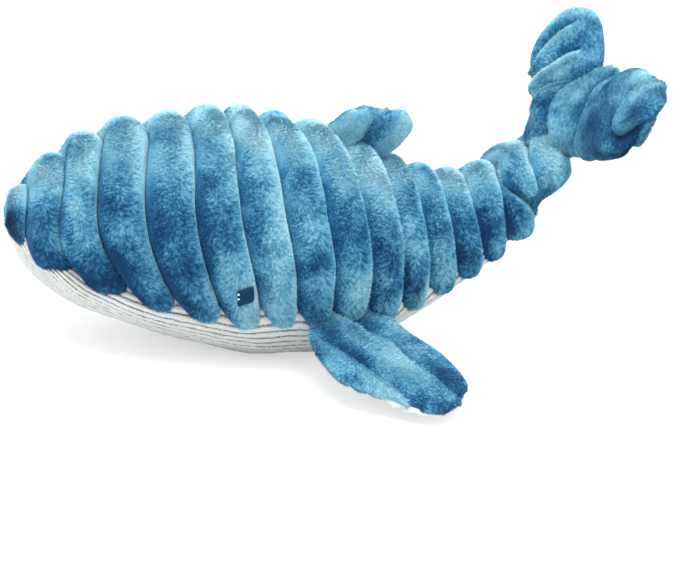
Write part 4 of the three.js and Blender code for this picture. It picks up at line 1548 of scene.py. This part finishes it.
@dataclass
class Eye:
    """An eye in satin stitch with a small white glint at its front edge."""

    side: str
    sign: int
    place: float = 0.363
    angle: float = 99.5
    turn: float = 12
    width: float = 10.2
    height: float = 10.4
    corner: float = 1.7
    stand: float = 0.9
    dome: float = 0.8
    stitch: float = 0.42
    plumpness: float = 0.62
    ragged: float = 0.25
    uneven: float = 0.06
    sway: float = 0.08
    glint_width: float = 0.9
    glint_height: float = 1.1
    glint_shift: float = -4.6
    glint_rises: tuple[float, ...] = (0.3, 3)

    def axes(self) -> tuple[Array, Array]:
        """Place and axes of the eye.

        Returns:
            Its middle, and a matrix with the lengthwise, upright and outward ways as rows.
        """
        angle = math.radians(self.angle)
        place = np.array(self.place)
        point = BODY.point(place, np.array(angle), np.array(0.0))
        point[1] *= -self.sign
        normal = unit(np.array([0, self.sign * math.sin(angle) * BODY.half_depth(place),
                                math.cos(angle) * BODY.half_width(place)]))
        turn = math.radians(self.turn)
        along = np.array([math.cos(turn), 0, 0]) - math.sin(turn) * normal
        normal = math.cos(turn) * normal + np.array([math.sin(turn), 0, 0])
        upright = np.cross(normal, along)
        upright = upright * np.sign(upright[2])
        return point, np.stack([along, upright, normal])

    def threads(self, name: str, centre: tuple[float, float], width: float, height: float, lift: float,
                corner: float, salt: int) -> bpy.types.Mesh:
        """Lay upright stitches side by side over a rounded shape.

        Args:
            name: Name of the mesh.
            centre: Middle of the shape along the eye and up it.
            width: Its width.
            height: Its height.
            lift: Height of the stitches over the cover at their ends.
            corner: Radius of its corners.
            salt: Seed of the raggedness.

        Returns:
            One slim closed tube for each stitch.
        """
        rng = np.random.default_rng(salt)
        count = max(int(width / self.stitch), 3)
        x = (np.arange(count) + 0.5) / count * width - width / 2
        past = np.clip(np.abs(x) - (width / 2 - corner), 0, corner)
        half = height / 2 - corner + np.sqrt(np.maximum(corner**2 - past**2, 0))
        half = half + rng.uniform(-self.ragged, self.ragged, count)
        steps, facets = 13, 8
        run = np.linspace(-1, 1, steps)
        turn = np.linspace(0, 2 * math.pi, facets, endpoint=False)
        thick = self.stitch * self.plumpness * np.sqrt(np.maximum(1 - np.abs(run) ** 6, 0.02))
        y = half[:, None] * run
        crown = self.dome * (1 - run**2)[None] * (1 - (2 * x / width) ** 2 * 0.6)[:, None]
        z = lift + crown + rng.uniform(-self.uneven, self.uneven, count)[:, None]
        sway = rng.uniform(-self.sway, self.sway, (count, 1)) * run
        local = np.stack(np.broadcast_arrays(
            (x[:, None] + sway)[..., None] + centre[0] + thick[:, None] * np.cos(turn),
            y[..., None] + centre[1],
            z[..., None] + thick[:, None] * np.sin(turn) * 0.9), -1)
        point, axes = self.axes()
        points = BODY.row(local.reshape(-1, 3) @ axes + point)
        first = (np.arange(count) * steps * facets)[:, None, None]
        ring, facet = np.arange(steps - 1)[None, :, None] * facets, np.arange(facets)[None, None]
        after = (facet + 1) % facets
        faces = np.stack([first + ring + facet, first + ring + after, first + ring + facets + after,
                          first + ring + facets + facet], -1).reshape(-1, 4)
        centre = points.reshape(count, steps, facets, 3).mean(2)
        quad = points[faces]
        square = np.cross(quad[:, 2] - quad[:, 0], quad[:, 3] - quad[:, 1])
        middle = np.repeat(((centre[:, 1:] + centre[:, :-1]) / 2).reshape(-1, 3), facets, axis=0)
        if (square * (quad.mean(1) - middle)).sum() < 0:
            faces = faces[:, ::-1]
        bake_map = bake_cells(len(faces), ((0.05, 0.05), (0.95, 0.05), (0.95, 0.95), (0.05, 0.95)))
        return add_mesh(name, points, faces, bake_map, {}, True)

    def build(self) -> None:
        """Stitch the eye and its glint on to the cover."""
        name = f"eye_{self.side}"
        navy = self.threads(f"{name}_stitches", (0, 0), self.width, self.height, self.stand,
                            self.corner, 71)
        made = [(navy, Finish.NAVY, name)]
        for number, rise in enumerate(self.glint_rises, 1):
            white = self.threads(f"{name}_glint_stitches_{number}", (self.glint_shift, rise),
                                 self.glint_width, self.glint_height, self.stand + 0.45, 0.5, 71 + number)
            made.append((white, Finish.WHITE, f"{name}_glint"))
        for mesh, finish, node in made:
            piece = add_piece(mesh.name, mesh, finish)
            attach(piece, "trunk")
            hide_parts(node)


# ---------------------------------------------------------------- assembly


@dataclass
class Trunk:
    """Everything in front of the neck."""

    neck_groove: int = 11
    pile_groups: tuple[int, ...] = (0, 4, 6, 8, 10, 11)
    chin: float = 0

    def build(self) -> None:
        """Make the back cover, its pile and the belly panel."""
        cover_form = BackCover(0, self.neck_groove)
        sheet = cover_form.sheet()
        cover = add_cloth("back_cloth", sheet)
        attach(cover, "trunk")
        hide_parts("back_cover", "trunk_filling")
        for number, (first, last) in enumerate(zip(self.pile_groups, self.pile_groups[1:]), 1):
            ribs = cover_form.rib_rows(sheet, first, last)
            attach(add_pile(f"back_pile_{number}", Pile(salt=80 + number), ribs), "trunk")
        belly = BellyPanel(self.chin, BODY.grooves[self.neck_groove]).sheet()
        panel = add_cloth("belly_cloth", belly, Finish.CORDED)
        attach(panel, "trunk")
        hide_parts("belly_panel")


@dataclass
class Neck:
    """The two ribs and the strip of belly that bend where the tail joins the trunk."""

    first: int = 11
    last: int = 13

    def settle(self, piece: bpy.types.Object) -> None:
        """Bake the piece's placement into its mesh."""
        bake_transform(piece)

    def build(self) -> None:
        """Make the ribs, their pile and the strip of belly."""
        sheet = BackCover(self.first, self.last).sheet()
        cover = add_cloth("neck_cloth", sheet)
        pile = add_pile("neck_pile", Pile(salt=91), sheet)
        belly = BellyPanel(BODY.grooves[self.first], BODY.grooves[self.last], rows=30).sheet()
        panel = add_cloth("neck_belly_cloth", belly, Finish.CORDED)
        for piece in (cover, pile, panel):
            self.settle(piece)


@dataclass
class Tail:
    """The stock behind the neck, with the fluke root at its end."""

    first: int = 13
    last: int = 17
    belly_end: float = 0.935

    def build(self) -> None:
        """Make the stock, the root, their pile and the end of the belly panel."""
        stock = BackCover(self.first, self.last, columns=221).sheet()
        root = FlukeRoot().sheet()
        cover = add_cloth("tail_cloth", stock)
        wedge = add_cloth("fluke_root_cloth", root)
        pile = add_pile("tail_pile", Pile(salt=92), stock, root)
        belly = BellyPanel(BODY.grooves[self.first], self.belly_end, rows=40, columns=140).sheet()
        panel = add_cloth("tail_belly_cloth", belly, Finish.CORDED)
        for piece in (cover, wedge, pile, panel):
            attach(piece, "tail")
        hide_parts("tail_cover", "tail_filling")
        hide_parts("tail_belly_panel")


# ---------------------------------------------------------------- studio


def seen_rays(tree: bpy.types.NodeTree) -> bpy.types.NodeSocket:
    """Pick the rays that show a surface straight, in a gloss or through something clear.

    Args:
        tree: Node tree of a material or of the world.

    Returns:
        A socket that is 1 for those rays and 0 for the rays that light other surfaces.
    """
    path = add_node(tree, "ShaderNodeLightPath").outputs
    seen = path["Is Camera Ray"]
    for kind in ("Is Glossy Ray", "Is Transmission Ray"):
        seen = add_node(tree, "ShaderNodeMath", {"operation": "MAXIMUM"}, {0: seen, 1: path[kind]}).outputs[0]
    return seen


@dataclass
class Studio:
    """A pale floor, soft lights and a camera at the photograph's viewing angle."""

    target: tuple[float, float, float] = (0.01586, 0, 0.06755)
    back: tuple[float, float, float] = (-0.406, -0.871, 0.276)
    upright: tuple[float, float, float] = (-0.037, 0.317, 0.948)
    distance: float = 1.1
    lens: float = 104
    shift_y: float = -0.084
    floor_size: float = 8
    floor_colour: str = "#d9dadb"
    floor_glow: float = 0.55
    sky_light: float = 0.8
    light_aim: tuple[float, float, float] = (0, 0, 0.08)

    def build(self) -> None:
        """Make the camera, the lights, the world and the floor."""
        self.add_camera()
        self.add_lights()
        self.add_world()
        self.add_floor()

    def add_camera(self) -> None:
        """Place the camera."""
        data = bpy.data.cameras.new("camera")
        data.lens, data.sensor_width, data.shift_y = self.lens, 36, self.shift_y
        data.clip_start, data.clip_end = 0.05, 40
        camera = bpy.data.objects.new("camera", data)
        bpy.context.scene.collection.objects.link(camera)
        back = unit(np.array(self.back))
        right = unit(np.cross(np.array(self.upright), back))
        up = np.cross(back, right)
        matrix = np.eye(4)
        matrix[:3, :3] = np.stack([right, up, back], 1)
        matrix[:3, 3] = np.array(self.target) + back * self.distance
        camera.matrix_world = Matrix(matrix.tolist())
        bpy.context.scene.camera = camera

    def add_lights(self) -> None:
        """Hang a large soft light over the toy, and two weaker ones at its sides."""
        for name, place, size, power in (
                ("overhead_softbox", (-0.25, -0.35, 1.5), 1.2, 26.5),
                ("front_softbox", (-1.2, -1.3, 0.7), 1.2, 6),
                ("rear_softbox", (1.1, 1.2, 1.0), 1.2, 6)):
            data = bpy.data.lights.new(name, "AREA")
            data.size, data.energy = size, power
            lamp = bpy.data.objects.new(name, data)
            lamp.location = place
            aim = np.array(self.light_aim) - np.array(place)
            lamp.rotation_mode = "QUATERNION"
            lamp.rotation_quaternion = Vector(aim).to_track_quat("-Z", "Y")
            bpy.context.scene.collection.objects.link(lamp)

    def add_world(self) -> None:
        """Light from all round, and a white background for the camera."""
        world = bpy.data.worlds.new("studio_world")
        world.use_nodes = True
        tree = world.node_tree
        tree.nodes.clear()
        strength = add_node(tree, "ShaderNodeMapRange", {"To Min": self.sky_light, "To Max": 1.0},
                            {"Value": seen_rays(tree)})
        sky = add_node(tree, "ShaderNodeBackground", {"Color": (1, 1, 1, 1)},
                       {"Strength": strength.outputs[0]})
        add_node(tree, "ShaderNodeOutputWorld", links={"Surface": sky.outputs[0]})
        bpy.context.scene.world = world

    def add_floor(self) -> None:
        """Lay a pale floor that keeps the toy's shadow."""
        half = self.floor_size / 2 / MM
        points = np.array([[-half, -half, 0], [half, -half, 0], [half, half, 0], [-half, half, 0]], float)
        flat = np.array([[[0, 0], [1, 0], [1, 1], [0, 1]]], float)
        mesh = add_mesh("floor", points, np.array([[0, 1, 2, 3]]), flat, {}, False)
        material, tree = new_material("pale_studio_floor")
        glow = add_node(tree, "ShaderNodeMath", {"operation": "MULTIPLY", 1: self.floor_glow},
                        {0: seen_rays(tree)})
        matt = add_node(tree, "ShaderNodeBsdfDiffuse", {"Color": linear(self.floor_colour)})
        lift = add_node(tree, "ShaderNodeEmission", {"Color": (1, 1, 1, 1)},
                        {"Strength": glow.outputs[0]})
        both = add_node(tree, "ShaderNodeAddShader", links={0: matt.outputs[0], 1: lift.outputs[0]})
        add_node(tree, "ShaderNodeOutputMaterial", links={"Surface": both.outputs[0]})
        mesh.materials.append(material)
        floor = bpy.data.objects.new("floor", mesh)
        bpy.context.scene.collection.objects.link(floor)


def main() -> None:
    """Build the whale and its studio."""
    logging.basicConfig(level=logging.INFO, format="%(name)s: %(message)s")
    bpy.context.scene.view_settings.view_transform = "Standard"
    Studio().build()
    Trunk().build()
    Neck().build()
    Tail().build()
    for side, sign in (("left", -1), ("right", 1)):
        Eye(side, sign).build()
    for fin in fins():
        fin.build()


if __name__ == "__main__":
    main()
